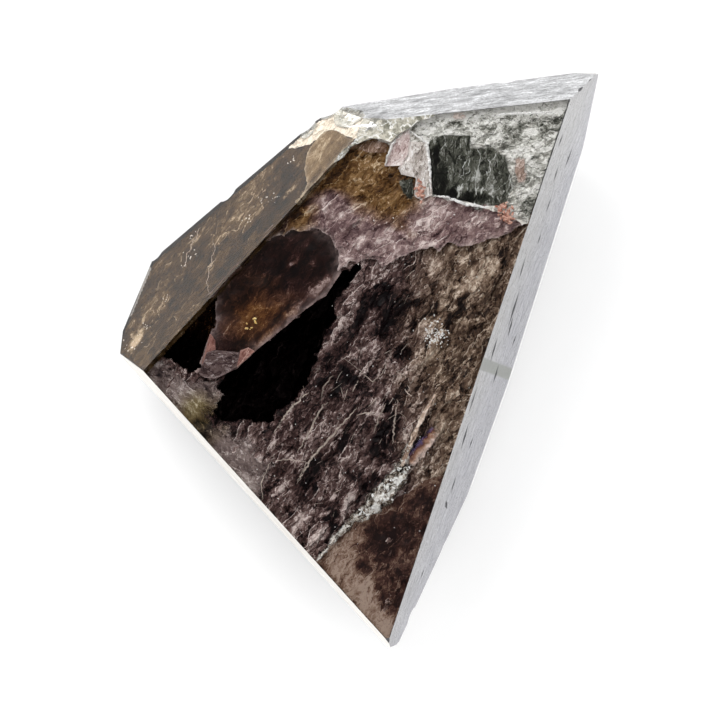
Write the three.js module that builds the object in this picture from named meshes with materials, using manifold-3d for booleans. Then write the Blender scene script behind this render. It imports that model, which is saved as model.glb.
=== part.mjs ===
// A super seven quartz point, cut and polished: one stone whose flat facets taper to a tip.
// It lies on its broad flat back with its largest facet, the window, facing up and the tip
// towards -Y. Millimetres, +Z up.
import * as THREE from 'three';
import { mergeVertices } from 'three/addons/utils/BufferGeometryUtils.js';
import Module from 'manifold-3d';

const wasm = await Module();
wasm.setup();

const STONE_COLOUR = 0x5d4a4a;
const STONE_ROUGHNESS = 0.12;

// Side of the rough block that the facets are ground from
const ROUGH_SIDE = 110;

// The facets, each ground flat. bearing is the way a facet faces, in degrees from +X towards
// +Y. slope is its tilt, in degrees: 0 faces up, 90 stands upright, 180 faces down. reach is
// how far it lies from the point on the table below the middle of the stone.
const FACETS = {
  window: { bearing: 213, slope: 9, reach: 20.7 },
  right: { bearing: 340, slope: 77, reach: 18.7 },
  top: { bearing: 98.5, slope: 72, reach: 34.3 },
  left: { bearing: 142.3, slope: 60, reach: 26.2 },
  low: { bearing: 222, slope: 82, reach: 22.9 },
  tip: { bearing: 294, slope: 86, reach: 34.7 },
  corner: { bearing: 88, slope: 84, reach: 37.6 },
  heel: { bearing: 180, slope: 94, reach: 29 },
  underRightHigh: { bearing: 7, slope: 112, reach: 25.1 },
  underRight: { bearing: 349, slope: 118, reach: 15.2 },
  underRightLow: { bearing: 340.5, slope: 124, reach: 13.6 },
  underTip: { bearing: 312.5, slope: 130, reach: 14.2 },
  underTop: { bearing: 95.5, slope: 112, reach: 24.4 },
  underTopLow: { bearing: 101.5, slope: 122, reach: 18.2 },
  underLeft: { bearing: 110.3, slope: 130, reach: 13.9 },
  underHeel: { bearing: 174, slope: 118, reach: 22.6 },
  underLow: { bearing: 225.5, slope: 120, reach: 13.1 },
  back: { bearing: 0, slope: 180, reach: 0 },
};

// Shell-shaped chips where the stone broke. at is a point on its skin, bearing and slope say
// which way the chip faces, radius is the curve of its hollow and depth how far it bites.
const NATURAL_BREAK = [
  { at: [-3.6, 30.5, 15.1], bearing: 122, slope: 84, radius: 4, depth: 0.5 },
  { at: [-6.3, 28.2, 14.4], bearing: 140, slope: 82, radius: 3, depth: 0.4 },
  { at: [-1.8, 29.6, 18.7], bearing: 120, slope: 66, radius: 9, depth: 0.7 },
  { at: [0.7, 28.5, 23.3], bearing: 125, slope: 42, radius: 6, depth: 0.8 },
  { at: [-2.8, 24.8, 22.6], bearing: 144, slope: 34, radius: 10, depth: 0.3 },
  { at: [-6.2, 26.3, 16.7], bearing: 142, slope: 63, radius: 12, depth: 0.3 },
];
const EDGE_CHIPS = [
  { at: [3.4, -34.4, 18.4], bearing: 265, slope: 50, radius: 1.2, depth: 0.35 },
  { at: [4.2, -35.3, 12.6], bearing: 300, slope: 105, radius: 1.6, depth: 0.3 },
  { at: [6.3, -31.7, 10.8], bearing: 330, slope: 104, radius: 1.7, depth: 0.55 },
  { at: [10.4, -23.2, 6.6], bearing: 330, slope: 104, radius: 1.6, depth: 0.2 },
  { at: [16.4, -9.0, 3.0], bearing: 340, slope: 100, radius: 2.2, depth: 0.2 },
  { at: [27.8, 26.7, 9.4], bearing: 350, slope: 96, radius: 2, depth: 0.2 },
  { at: [26.5, 32.7, 23.7], bearing: 40, slope: 76, radius: 2.4, depth: 0.25 },
  { at: [27.9, 34.1, 20.2], bearing: 40, slope: 76, radius: 1.6, depth: 0.2 },
  { at: [29.1, 35.2, 15.6], bearing: 40, slope: 92, radius: 1.2, depth: 0.25 },
  { at: [18.0, 34.2, 15.0], bearing: 98, slope: 92, radius: 2.4, depth: 0.2 },
  { at: [-29.7, 0.6, 9.2], bearing: 190, slope: 84, radius: 1.4, depth: 0.3 },
  { at: [-25.4, 13.2, 3.3], bearing: 140, slope: 96, radius: 1.8, depth: 0.35 },
  { at: [-16.1, 20.6, 8.1], bearing: 140, slope: 92, radius: 2.2, depth: 0.25 },
  { at: [-15.2, -14.2, 18.0], bearing: 222, slope: 45, radius: 1.2, depth: 0.12 },
];
const CHIP_ROUNDNESS = 3;

// Growth pits etched in the right facet, shaped like slim diamonds. along runs from the
// window's top right corner down its long edge, down runs from that edge down the facet, and
// turn is how far a pit swings away from the long edge, in degrees.
const WINDOW_CORNER = new THREE.Vector3(25.2, 31.4, 27);
const WINDOW_TIP = new THREE.Vector3(3.4, -34.4, 18.4);
const PIT_DEPTH = 0.35;
const PITS = [
  { along: 5.2, down: 2.4, length: 1.8, width: 0.6, turn: 0 },
  { along: 7.5, down: 10.4, length: 3.2, width: 0.7, turn: -8 },
  { along: 9.6, down: 6.2, length: 2.2, width: 0.6, turn: 6 },
  { along: 13.6, down: 8, length: 2.2, width: 0.6, turn: -6 },
  { along: 18, down: 9.2, length: 1.6, width: 0.6, turn: 8 },
  { along: 21.8, down: 5, length: 3.2, width: 0.7, turn: 10 },
  { along: 27, down: 8, length: 5.2, width: 1.1, turn: 8 },
  { along: 29.4, down: 9.6, length: 3.2, width: 0.9, turn: 20 },
  { along: 31.4, down: 14.6, length: 1.8, width: 0.7, turn: -20 },
  { along: 32.2, down: 4.4, length: 3.6, width: 0.9, turn: 12 },
  { along: 35.7, down: 10.4, length: 2.8, width: 0.9, turn: 14 },
  { along: 38.6, down: 2, length: 4, width: 0.7, turn: 5 },
  { along: 43.5, down: 4.4, length: 3.8, width: 1, turn: 12 },
  { along: 44.6, down: 9.4, length: 1.8, width: 0.6, turn: 0 },
  { along: 50, down: 7.2, length: 2.6, width: 0.7, turn: 10 },
  { along: 52.6, down: 7, length: 2.8, width: 0.7, turn: 62 },
  { along: 61.6, down: 6.6, length: 1.4, width: 0.6, turn: 0 },
];

// The unit vector that a facet or chip faces along
function facing({ bearing, slope }) {
  const turn = THREE.MathUtils.degToRad(bearing);
  const tilt = THREE.MathUtils.degToRad(slope);
  return new THREE.Vector3(
    Math.sin(tilt) * Math.cos(turn),
    Math.sin(tilt) * Math.sin(turn),
    Math.cos(tilt),
  );
}

function toSolid(geometry) {
  const plain = geometry.clone();
  plain.deleteAttribute('normal');
  plain.deleteAttribute('uv');
  const merged = mergeVertices(plain);
  const triVerts = merged.index
    ? new Uint32Array(merged.index.array)
    : Uint32Array.from({ length: merged.attributes.position.count }, (_, i) => i);
  const vertProperties = new Float32Array(merged.attributes.position.array);
  return new wasm.Manifold(new wasm.Mesh({ numProp: 3, vertProperties, triVerts }));
}

function toGeometry(solid) {
  const { vertProperties, triVerts } = solid.getMesh();
  const geometry = new THREE.BufferGeometry();
  geometry.setAttribute('position', new THREE.BufferAttribute(vertProperties, 3));
  geometry.setIndex(new THREE.BufferAttribute(triVerts, 1));
  geometry.computeVertexNormals();
  return geometry;
}

// The block of waste that lies beyond a facet
function wasteBeyond(facet) {
  const outward = facing(facet);
  const waste = new THREE.BoxGeometry(2 * ROUGH_SIDE, 2 * ROUGH_SIDE, ROUGH_SIDE);
  waste.translate(0, 0, facet.reach + ROUGH_SIDE / 2);
  const turn = new THREE.Quaternion().setFromUnitVectors(new THREE.Vector3(0, 0, 1), outward);
  waste.applyQuaternion(turn);
  return toSolid(waste);
}

function chipScoop({ at, bearing, slope, radius, depth }) {
  const centre = new THREE.Vector3(...at).addScaledVector(facing({ bearing, slope }), radius - depth);
  const scoop = new THREE.IcosahedronGeometry(radius, CHIP_ROUNDNESS);
  scoop.translate(centre.x, centre.y, centre.z);
  return toSolid(scoop);
}

function pitCutter({ along, down, length, width, turn }) {
  const outward = facing(FACETS.right);
  const alongEdge = WINDOW_TIP.clone().sub(WINDOW_CORNER).normalize();
  const downFacet = new THREE.Vector3().crossVectors(outward, alongEdge);
  const swing = THREE.MathUtils.degToRad(turn);
  const lengthways = alongEdge.clone().multiplyScalar(Math.cos(swing)).addScaledVector(downFacet, Math.sin(swing));
  const widthways = new THREE.Vector3().crossVectors(outward, lengthways);
  const centre = WINDOW_CORNER.clone().addScaledVector(alongEdge, along).addScaledVector(downFacet, down);
  const lift = facing(FACETS.right).dot(centre) - FACETS.right.reach;
  centre.addScaledVector(outward, -lift);
  const diamond = new THREE.OctahedronGeometry(1);
  diamond.scale(length / 2, width / 2, PIT_DEPTH);
  diamond.applyMatrix4(new THREE.Matrix4().makeBasis(lengthways, widthways, outward).setPosition(centre));
  return toSolid(diamond);
}

function quartzPoint() {
  const waste = Object.values(FACETS).map(wasteBeyond);
  const chips = [...NATURAL_BREAK, ...EDGE_CHIPS].map(chipScoop);
  const pits = PITS.map(pitCutter);
  const rough = toSolid(new THREE.BoxGeometry(ROUGH_SIDE, ROUGH_SIDE, ROUGH_SIDE));
  const cut = [...waste, ...chips, ...pits].reduce((stone, cutter) => stone.subtract(cutter), rough);
  return toGeometry(cut);
}

// The stone stands over the origin: the middle of its length and width, and its flat back
function centred(geometry) {
  geometry.computeBoundingBox();
  const middle = geometry.boundingBox.getCenter(new THREE.Vector3());
  return geometry.translate(-middle.x, -middle.y, -geometry.boundingBox.min.z);
}

const stone = new THREE.Mesh(
  centred(quartzPoint()),
  new THREE.MeshStandardMaterial({
    color: STONE_COLOUR,
    roughness: STONE_ROUGHNESS,
    metalness: 0,
    flatShading: true,
  }),
);
stone.name = 'quartz_point';

const model = new THREE.Group();
model.add(stone);

export default model;
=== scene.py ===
"""A polished super seven quartz point on a pale floor, seen from above.

The stone's skin is see-through quartz. Inside it lies what the crystal grew round: smoky growth,
coloured growth zones, small crystals, a bright fracture, cracks and specks. Each is a closed mesh
of its own. Places and lengths in this file are in millimetres; mesh_piece() makes metres of them.
"""
import itertools
import math

import bmesh
import bpy
import numpy as np
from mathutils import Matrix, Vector


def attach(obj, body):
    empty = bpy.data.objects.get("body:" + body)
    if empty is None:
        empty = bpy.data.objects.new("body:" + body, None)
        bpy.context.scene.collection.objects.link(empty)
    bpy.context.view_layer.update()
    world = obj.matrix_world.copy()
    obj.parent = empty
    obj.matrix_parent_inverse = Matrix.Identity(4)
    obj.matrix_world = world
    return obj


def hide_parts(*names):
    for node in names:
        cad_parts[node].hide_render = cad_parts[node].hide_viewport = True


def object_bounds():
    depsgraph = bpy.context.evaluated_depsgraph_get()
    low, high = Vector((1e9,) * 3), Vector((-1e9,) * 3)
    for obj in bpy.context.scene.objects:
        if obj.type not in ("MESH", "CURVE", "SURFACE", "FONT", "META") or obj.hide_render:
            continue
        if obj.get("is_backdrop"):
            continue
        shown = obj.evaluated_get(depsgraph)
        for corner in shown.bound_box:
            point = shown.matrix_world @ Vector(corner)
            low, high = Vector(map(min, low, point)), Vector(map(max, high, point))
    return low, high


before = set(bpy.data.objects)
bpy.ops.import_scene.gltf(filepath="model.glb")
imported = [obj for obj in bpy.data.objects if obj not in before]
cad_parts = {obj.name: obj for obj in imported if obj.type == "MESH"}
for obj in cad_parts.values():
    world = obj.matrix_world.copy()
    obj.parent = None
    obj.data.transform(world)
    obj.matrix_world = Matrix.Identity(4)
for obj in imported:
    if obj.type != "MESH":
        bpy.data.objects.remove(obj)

cad_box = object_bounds()
MM = 0.001
STONE = "quartz_point"
BODY = "root"

# The view: straight down from a long lens
CAMERA_PLACE = (0.18, 0.12, 560)
VIEW_LEVEL = 6
VIEW_WIDTH = 90
SENSOR_WIDTH = 36

# How much light growth under a facet sends back: the first share for a dark one, and the second
# more for a white one
INNER_LIGHT = 0.8
INNER_LIGHT_GAIN = 0.25

# The studio. The patch of the sky that the window mirrors into the camera is dark, so that the
# stone's inside shows. The lamp's place and the floor's side are in metres, and angles in degrees.
DARK_PATCH = (-0.259, -0.168, 0.951)
DARK_PATCH_RADIUS = 22
DARK_PATCH_EDGE = 36
KEY_PLACE = (-0.4, 0.68, 0.75)
KEY_SIZE = 0.6
KEY_POWER = 7
SKY_STRENGTH = 2.1
FLOOR_HALF_SIDE = 3
FLOOR_DROP = -0.05 * MM
FLOOR_GLOW = 0.45

# The stone
SMALLEST_FACET_AREA = 20
LEVEL_ENOUGH = 0.02
SAME_FACING = 0.998
SKIN_MERGE = 0.002 * MM
IOR_QUARTZ = 1.544
CLEAR_SHADOW = (0.92, 0.92, 0.92, 1)
SMOKE_COLOUR = (0.80, 0.74, 0.74, 1)
SMOKE_DENSITY = 60
STREAK_BEARING = 57
SKIN_GAP = 0.3
SEAM_GAP = 0.9
PIT_ZONE = 0.45
CAP_PLANE = dict(bearing=69, reach=23.4)

# Sheets of growth: how a hole's border wanders, how far a sheet reaches under the growth on top of
# it, how near its relief comes to the skin, how far from other facets it has its full height, its
# least thickness, how wide the creases between its flakes are, the grids of small crystals and of
# fine pieces, and the step along a crack
HOLE_RAGGED = 0.7
HOLE_RAGGED_SIZE = 0.9
TUCKED_UNDER = 0.6
RELIEF_UNDER_SKIN = 0.25
RELIEF_ROOM = 0.8
LEAST_THICKNESS = 0.03
CREASE_WIDTH = 0.13
CRYSTAL_GRID = 0.16
FINE_GRID = 0.12
CRACK_STEP = 0.25


# Facets of the stone

def facet_planes():
    """The stone's ground facets as (outward normal, reach in mm), largest first."""
    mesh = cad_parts[STONE].data
    areas = {}
    for face in mesh.polygons:
        reach = face.normal.dot(mesh.vertices[face.vertices[0]].co) / MM
        key = tuple(round(c, 2) for c in face.normal) + (round(reach, 1),)
        area, normal, _ = areas.get(key, (0, None, None))
        areas[key] = (area + face.area / MM**2, face.normal.copy(), reach)
    large = [entry for entry in areas.values() if entry[0] > SMALLEST_FACET_AREA]
    large.sort(key=lambda entry: -entry[0])
    return [(np.array(normal), reach) for _, normal, reach in large]


def facet_facing(*direction):
    """The facet whose normal is nearest to a direction."""
    return max(FACETS, key=lambda facet: facet[0] @ np.array(direction, float))


FACETS = facet_planes()
WINDOW = facet_facing(0, 0, 1)
LEFT = facet_facing(-0.7, 0.5, 0.5)
RIGHT = facet_facing(0.9, -0.3, 0.2)
TOP = facet_facing(-0.1, 0.95, 0.3)
LOW = facet_facing(-0.7, -0.7, 0.1)


def height_under(facet, places, depth):
    """The height of the points that lie depth mm inside a facet, at places seen from above."""
    normal, reach = facet
    return (reach - depth - places @ normal[:2]) / normal[2]


def room_inside(places, heights, own_facet, gap=SKIN_GAP, seam_gap=SEAM_GAP):
    """How far each point is, seen from above, from the nearest other facet moved in by a gap.

    The seam is the ridge where the window and the left facet meet.
    """
    room = np.full(len(places), np.inf)
    for normal, reach in FACETS:
        across = np.hypot(*normal[:2])
        if normal is own_facet[0] or across < LEVEL_ENOUGH:
            continue
        inset = seam_gap if normal is WINDOW[0] or normal is LEFT[0] else gap
        room = np.minimum(room, (reach - inset - places @ normal[:2] - heights * normal[2]) / across)
    return room


# Random fields

def lattice_random(cells, seed):
    """A repeatable random number from -1 to 1 for each row of whole numbers."""
    mixed = np.full(len(cells), seed * 7919 + 17, np.uint64)
    for axis in range(cells.shape[1]):
        mixed ^= cells[:, axis].astype(np.uint64) + np.uint64(0x9E3779B97F4A7C15)
        mixed *= np.uint64(0xBF58476D1CE4E5B9)
        mixed ^= mixed >> np.uint64(31)
        mixed *= np.uint64(0x94D049BB133111EB)
        mixed ^= mixed >> np.uint64(29)
    return (mixed >> np.uint64(11)).astype(float) / 2**52 - 1


def value_noise(points, cell, seed):
    """Smooth noise from -1 to 1 at each point, with lumps about cell wide."""
    places = points / cell
    low = np.floor(places).astype(np.int64)
    share = places - low
    share = share * share * (3 - 2 * share)
    total = np.zeros(len(points))
    for corner in itertools.product((0, 1), repeat=points.shape[1]):
        weight = np.ones(len(points))
        for axis, step in enumerate(corner):
            weight *= share[:, axis] if step else 1 - share[:, axis]
        total += weight * lattice_random(low + np.array(corner), seed)
    return total


def layered_noise(points, cell, seed, layers=4):
    """Value noise at several scales, each half the size and half the strength of the last."""
    total = np.zeros(len(points))
    for layer in range(layers):
        total += value_noise(points, cell / 2**layer, seed + layer) / 2**layer
    return total / 2


def turned(points, bearing, stretch):
    """Points along and across a bearing, squeezed along it so that a field there is drawn out."""
    angle = math.radians(bearing)
    along = points @ np.array([math.cos(angle), math.sin(angle)])
    across = points @ np.array([-math.sin(angle), math.cos(angle)])
    return np.column_stack([along / stretch, across])


def flake_field(places, size, tilt, seed):
    """Flat flakes about size wide, each tilted its own way: height, shade and nearness to a crease."""
    cells = places / size
    low = np.floor(cells).astype(np.int64)
    nearest = np.full(len(places), np.inf)
    second = np.full(len(places), np.inf)
    height, shade = np.zeros(len(places)), np.zeros(len(places))
    for step in itertools.product((-1, 0, 1), repeat=2):
        cell = low + np.array(step)
        jitter = [0.5 + 0.45 * lattice_random(cell, seed + k) for k in range(2)]
        offset = cells - cell - np.column_stack(jitter)
        distance = (offset**2).sum(axis=1)
        slope = [tilt * lattice_random(cell, seed + 2 + k) for k in range(2)]
        lift = tilt * 0.4 * lattice_random(cell, seed + 4)
        here = size * (offset[:, 0] * slope[0] + offset[:, 1] * slope[1] + lift)
        closer = distance < nearest
        second = np.where(closer, nearest, np.minimum(second, distance))
        nearest = np.where(closer, distance, nearest)
        height = np.where(closer, here, height)
        shade = np.where(closer, 0.5 + 0.5 * lattice_random(cell, seed + 5), shade)
    crease = np.clip(1 - (np.sqrt(second) - np.sqrt(nearest)) * size / CREASE_WIDTH, 0, 1)
    return height, shade, crease


def flakes(bearing, stretch, size, tilt, seed):
    """A surface of drawn-out tilted flakes at two sizes, with fine unevenness on them."""
    def surface(places):
        along = turned(places, bearing, stretch)
        bent = along + 0.6 * np.column_stack([layered_noise(along, size, seed + k) for k in (20, 30)])
        large, small = flake_field(bent, size, tilt, seed), flake_field(bent, size * 0.4, tilt, seed + 7)
        height = large[0] + small[0] + 0.1 * layered_noise(along, size * 0.3, seed + 40, 3)
        return height, 0.6 * large[1] + 0.4 * small[1], np.maximum(large[2], 0.6 * small[2])
    return surface


def gentle(size, height, seed):
    """A surface of low, smooth swells."""
    def surface(places):
        swell = layered_noise(places, size, seed, 3)
        return height * swell, 0.5 + 0.4 * swell, np.zeros(len(places))
    return surface


def crystal_face(bearing, slope, seed):
    """A nearly flat crystal face that falls towards a bearing."""
    angle = math.radians(bearing)
    fall = np.array([math.cos(angle), math.sin(angle)]) * slope

    def surface(places):
        wave = layered_noise(places, 0.8, seed, 2)
        across = (places - places.mean(axis=0)) @ fall
        return 0.05 * wave - across, 0.5 + 0.3 * wave, np.zeros(len(places))
    return surface


def outline_distance(points, outline):
    """How far each point lies inside a closed outline, negative outside it."""
    corners = np.array(outline, float)
    inside = np.zeros(len(points), bool)
    nearest = np.full(len(points), np.inf)
    for start, end in zip(corners, np.roll(corners, -1, axis=0)):
        edge = end - start
        share = np.clip((points - start) @ edge / (edge @ edge), 0, 1)
        gap = points - start - share[:, None] * edge
        nearest = np.minimum(nearest, (gap**2).sum(axis=1))
        rises = (start[1] > points[:, 1]) != (end[1] > points[:, 1])
        with np.errstate(divide="ignore", invalid="ignore"):
            crossing = start[0] + (points[:, 1] - start[1]) / edge[1] * edge[0]
        inside ^= rises & (points[:, 0] < crossing)
    return np.where(inside, 1, -1) * np.sqrt(nearest)


def patchwork(places, base, patches, seed=0):
    """How light a growth is, 0 to 1: a base level, with soft-edged oval patches laid over it in turn.

    Patches come in groups of one level and bearing; each is its place, length and width.
    """
    bent = places + 0.7 * np.column_stack([layered_noise(places, 1.5, seed + k) for k in (101, 111)])
    light = base(places) if callable(base) else np.full(len(places), float(base))
    for level, bearing, ovals in patches:
        for x, y, length, width in ovals:
            along, across = turned(bent - (x, y), bearing, 1).T
            distance = np.hypot(along / length, across / width) * 1.7
            share = np.clip((1.35 - distance) / 0.7, 0, 1)
            light += share * (level - light)
    return light


# Making pieces

def mesh_piece(name, vertices, faces, material, slot, **attributes):
    """A new piece from points in mm, riding on the stone, with numbers at each point for shading."""
    mesh = bpy.data.meshes.new(name)
    mesh.from_pydata((np.asarray(vertices) * MM).tolist(), [], faces)
    mesh.update()
    for key, values in attributes.items():
        layer = mesh.attributes.new(key, "FLOAT", "POINT")
        layer.data.foreach_set("value", np.asarray(values, np.float32))
    mesh.materials.append(material)
    piece = bpy.data.objects.new(name, mesh)
    bpy.context.scene.collection.objects.link(piece)
    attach(piece, BODY)
    return piece


def snapped_grid(low, shape, grid, field):
    """Grid points near a field's zero line, moved onto it from outside; and the field there."""
    across, up = np.meshgrid(*(np.arange(n) for n in shape), indexing="ij")
    places = (np.column_stack([across.ravel(), up.ravel()]) + low) * grid
    inside = field(places)
    for _ in range(2):
        border = (inside < 0) & (inside > -grid)
        at = places[border]
        half = grid / 4
        rises = [field(at + shift) - field(at - shift) for shift in np.eye(2) * half]
        slope = np.column_stack(rises) / (2 * half)
        move = -inside[border, None] * slope / np.maximum((slope**2).sum(axis=1), 0.3)[:, None]
        places[border] += np.clip(move, -grid / 2, grid / 2)
        inside[border] = field(places[border])
    return places, inside


def growth_sheet(name, outline, depth, surface, material, facet=WINDOW, slot="inclusions", seed=1,
                 light=0.5, patches=(), ragged=0.3, ragged_size=1.6, grid=0.2, rise=0.5, thickness=0.5,
                 fade=0.0, holes=(), under=(), tone=None, seam_gap=SEAM_GAP, rim_width=0.3):
    """A closed sheet of growth inside a facet.

    The outline is as seen from above, and its border wanders by ragged mm. The sheet is a lens: top
    and bottom meet at the border, and both reach their full height rise mm inside it. Over the
    last fade mm it thins out to nothing. It has holes, and stays clear of the growth it is under.
    """
    def to_border(at):
        inside = outline_distance(at, outline) + layered_noise(at, ragged_size, seed) * ragged * 1.6
        for hole in holes:
            wander = layered_noise(at, HOLE_RAGGED_SIZE, seed) * HOLE_RAGGED
            inside = np.minimum(inside, -outline_distance(at, hole) + wander)
        for cover in under:
            inside = np.minimum(inside, TUCKED_UNDER - outline_distance(at, cover))
        return inside

    def room(at):
        return room_inside(at, height_under(facet, at, depth), facet, seam_gap=seam_gap)

    def field(at):
        return np.minimum(to_border(at), room(at))

    corners = np.array(outline, float)
    low = np.floor((corners.min(axis=0) - 1) / grid).astype(int)
    columns, rows = np.ceil((corners.max(axis=0) + 1) / grid).astype(int) - low
    places, inside = snapped_grid(low, (columns, rows), grid, field)
    kept = (inside > -grid * 0.45).reshape(columns, rows)
    whole = kept[:-1, :-1] & kept[1:, :-1] & kept[1:, 1:] & kept[:-1, 1:]
    first = (np.argwhere(whole) @ np.array([rows, 1]))[:, None]
    quads = first + np.array([0, rows, rows + 1, 1])
    thick = np.bincount(quads.ravel(), minlength=columns * rows) == 4
    quads = quads[thick[quads].any(axis=1)]
    used = np.bincount(quads.ravel(), minlength=columns * rows) > 0
    top_index = np.cumsum(used) - 1
    bottom_index = np.where(thick, np.cumsum(thick) - 1 + used.sum(), top_index)

    share = np.clip(inside / rise, 0, 1) ** 0.5 * thick
    height, shade, crease = surface(places[used])
    lift = height * np.clip(room(places[used]) / RELIEF_ROOM, 0, 1)
    lift = np.minimum(lift, depth - RELIEF_UNDER_SKIN)
    top = height_under(facet, places[used], depth) + lift * share[used]
    bottom = height_under(facet, places[thick], depth) - thickness * share[thick]
    bottom = np.minimum(bottom, top[top_index[thick]] - LEAST_THICKNESS)
    vertices = np.vstack([np.column_stack([places[used], top]), np.column_stack([places[thick], bottom])])
    faces = top_index[quads].tolist() + bottom_index[quads[:, ::-1]].tolist()
    border = to_border(vertices[:, :2])
    unseen = np.zeros(len(bottom))
    return mesh_piece(
        name, vertices, faces, material, slot,
        light=patchwork(vertices[:, :2], light, patches, seed),
        tone=tone(vertices[:, :2]) if tone else np.zeros(len(vertices)),
        shade=np.concatenate([shade, unseen]),
        crease=np.concatenate([crease, unseen]),
        edge=np.exp(-np.maximum(border, 0) / rim_width),
        cover=np.clip(border / fade, 0, 1) if fade else np.ones(len(vertices)),
    )


# Materials

def screen(red, green, blue):
    """A colour as it looks on a screen, as the linear colour that shaders take."""
    parts = (c / 255 for c in (red, green, blue))
    return tuple(((c + 0.055) / 1.055) ** 2.4 if c > 0.04 else c / 12.92 for c in parts) + (1,)


def inner(red, green, blue):
    """The colour of a growth inside the stone that looks this way from outside in the studio."""
    seen = screen(red, green, blue)[:3]
    root = ((INNER_LIGHT**2 + 4 * INNER_LIGHT_GAIN * c) ** 0.5 - INNER_LIGHT for c in seen)
    return tuple(min(c / (2 * INNER_LIGHT_GAIN), 0.95) for c in root) + (1,)


class Pattern:
    """A material under construction: short names for the few nodes that its pattern is made of."""

    def __init__(self, name):
        self.material = bpy.data.materials.new(name)
        self.material.use_nodes = True
        self.tree = self.material.node_tree
        self.tree.nodes.clear()
        coordinates = self.add("TexCoord").outputs["Object"]
        self.place = self.vector("MULTIPLY", coordinates, (1 / MM,) * 3)

    def add(self, kind, **settings):
        node = self.tree.nodes.new("ShaderNode" + kind)
        for key, value in settings.items():
            setattr(node, key, value)
        return node

    def feed(self, socket, value):
        """Links a socket to another node's output, or sets its value."""
        if isinstance(value, bpy.types.NodeSocket):
            self.tree.links.new(value, socket)
        else:
            socket.default_value = value

    def math(self, operation, *values):
        node = self.add("Math", operation=operation)
        for socket, value in zip(node.inputs, values):
            self.feed(socket, value)
        return node.outputs[0]

    def vector(self, operation, *values):
        node = self.add("VectorMath", operation=operation)
        for socket, value in zip(node.inputs, values):
            self.feed(socket, value)
        return node.outputs["Value" if operation == "DOT_PRODUCT" else "Vector"]

    def streaked(self, bearing=STREAK_BEARING, stretch=1.0, warp=0.0, size=2.0):
        """Coordinates in mm, along and across a bearing, squeezed along it and bent by noise."""
        place = self.place
        if warp:
            bend = self.add("TexNoise")
            self.feed(bend.inputs["Vector"], place)
            bend.inputs["Scale"].default_value = 1 / size
            bend.inputs["Detail"].default_value = 3
            shift = self.vector("SUBTRACT", bend.outputs["Color"], (0.5, 0.5, 0.5))
            place = self.vector("ADD", place, self.vector("MULTIPLY", shift, (warp * 2,) * 3))
        turn = self.add("VectorRotate", rotation_type="Z_AXIS")
        self.feed(turn.inputs["Vector"], place)
        turn.inputs["Angle"].default_value = -math.radians(bearing)
        return self.vector("MULTIPLY", turn.outputs[0], (1 / stretch, 1, 1))

    def noise(self, at, size, detail=3, roughness=0.55, low=0.0, high=1.0):
        """Noise with lumps about size mm wide. Its values from low to high become 0 to 1."""
        node = self.add("TexNoise")
        self.feed(node.inputs["Vector"], at)
        node.inputs["Scale"].default_value = 1 / size
        node.inputs["Detail"].default_value = detail
        node.inputs["Roughness"].default_value = roughness
        return self.spread(node.outputs["Fac"], low, high)

    def cells(self, at, size):
        """A random value from 0 to 1 in each cell about size mm wide."""
        node = self.add("TexVoronoi")
        self.feed(node.inputs["Vector"], at)
        node.inputs["Scale"].default_value = 1 / size
        return self.part(node.outputs["Color"], "X")

    def painted_cell_edge_shading(self, at, size, width=0.09):
        """Painted light and shade: thin lines along one side of each cell, lighter or darker as its step to
        the next goes, as a lamp from one side would light it.
        """
        aside = self.vector("ADD", at, (0, width, 0))
        return self.math("SUBTRACT", self.cells(at, size), self.cells(aside, size))

    def wisps(self, at, size, width):
        """1 along the level lines of a noise, which drift and close as thin wisps do."""
        level = self.noise(at, size, detail=4, roughness=0.5)
        off = self.math("ABSOLUTE", self.math("SUBTRACT", level, 0.5))
        return self.spread(off, width, width * 0.2)

    def spread(self, value, low, high):
        """0 to 1 as a value goes from low to high."""
        node = self.add("MapRange", clamp=True)
        self.feed(node.inputs["Value"], value)
        node.inputs["From Min"].default_value = low
        node.inputs["From Max"].default_value = high
        return node.outputs["Result"]

    def part(self, at, axis):
        node = self.add("SeparateXYZ")
        self.feed(node.inputs[0], at)
        return node.outputs[axis]

    def attribute(self, name):
        return self.add("Attribute", attribute_name=name).outputs["Fac"]

    def mix(self, first, second, share):
        node = self.add("Mix", data_type="RGBA")
        self.feed(node.inputs[0], share)
        self.feed(node.inputs[6], first)
        self.feed(node.inputs[7], second)
        return node.outputs[2]

    def swing(self, value, amount):
        """A value from 0 to 1 as a swing of amount round 0."""
        return self.math("MULTIPLY", self.math("SUBTRACT", value, 0.5), amount)

    def total(self, *values):
        result = values[0]
        for value in values[1:]:
            result = self.math("ADD", result, value)
        return result

    def product(self, *values):
        result = values[0]
        for value in values[1:]:
            result = self.math("MULTIPLY", result, value)
        return result

    def between(self, low, high, share):
        """The number that lies a share of the way from low to high."""
        return self.math("ADD", low, self.product(share, high - low))

    def finish(self, colour, relief=None, relief_height=0.1, **surface):
        """Puts the colour and a small relief on one Principled surface, whose other values are given."""
        shader = self.add("BsdfPrincipled")
        self.feed(shader.inputs["Base Color"], colour)
        for key, value in surface.items():
            self.feed(shader.inputs[key.replace("_", " ")], value)
        if relief is not None:
            bump = self.add("Bump")
            bump.inputs["Distance"].default_value = relief_height * MM
            self.feed(bump.inputs["Height"], relief)
            self.feed(shader.inputs["Normal"], bump.outputs["Normal"])
        out = self.add("OutputMaterial")
        self.feed(out.inputs["Surface"], shader.outputs[0])
        return self.material


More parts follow.
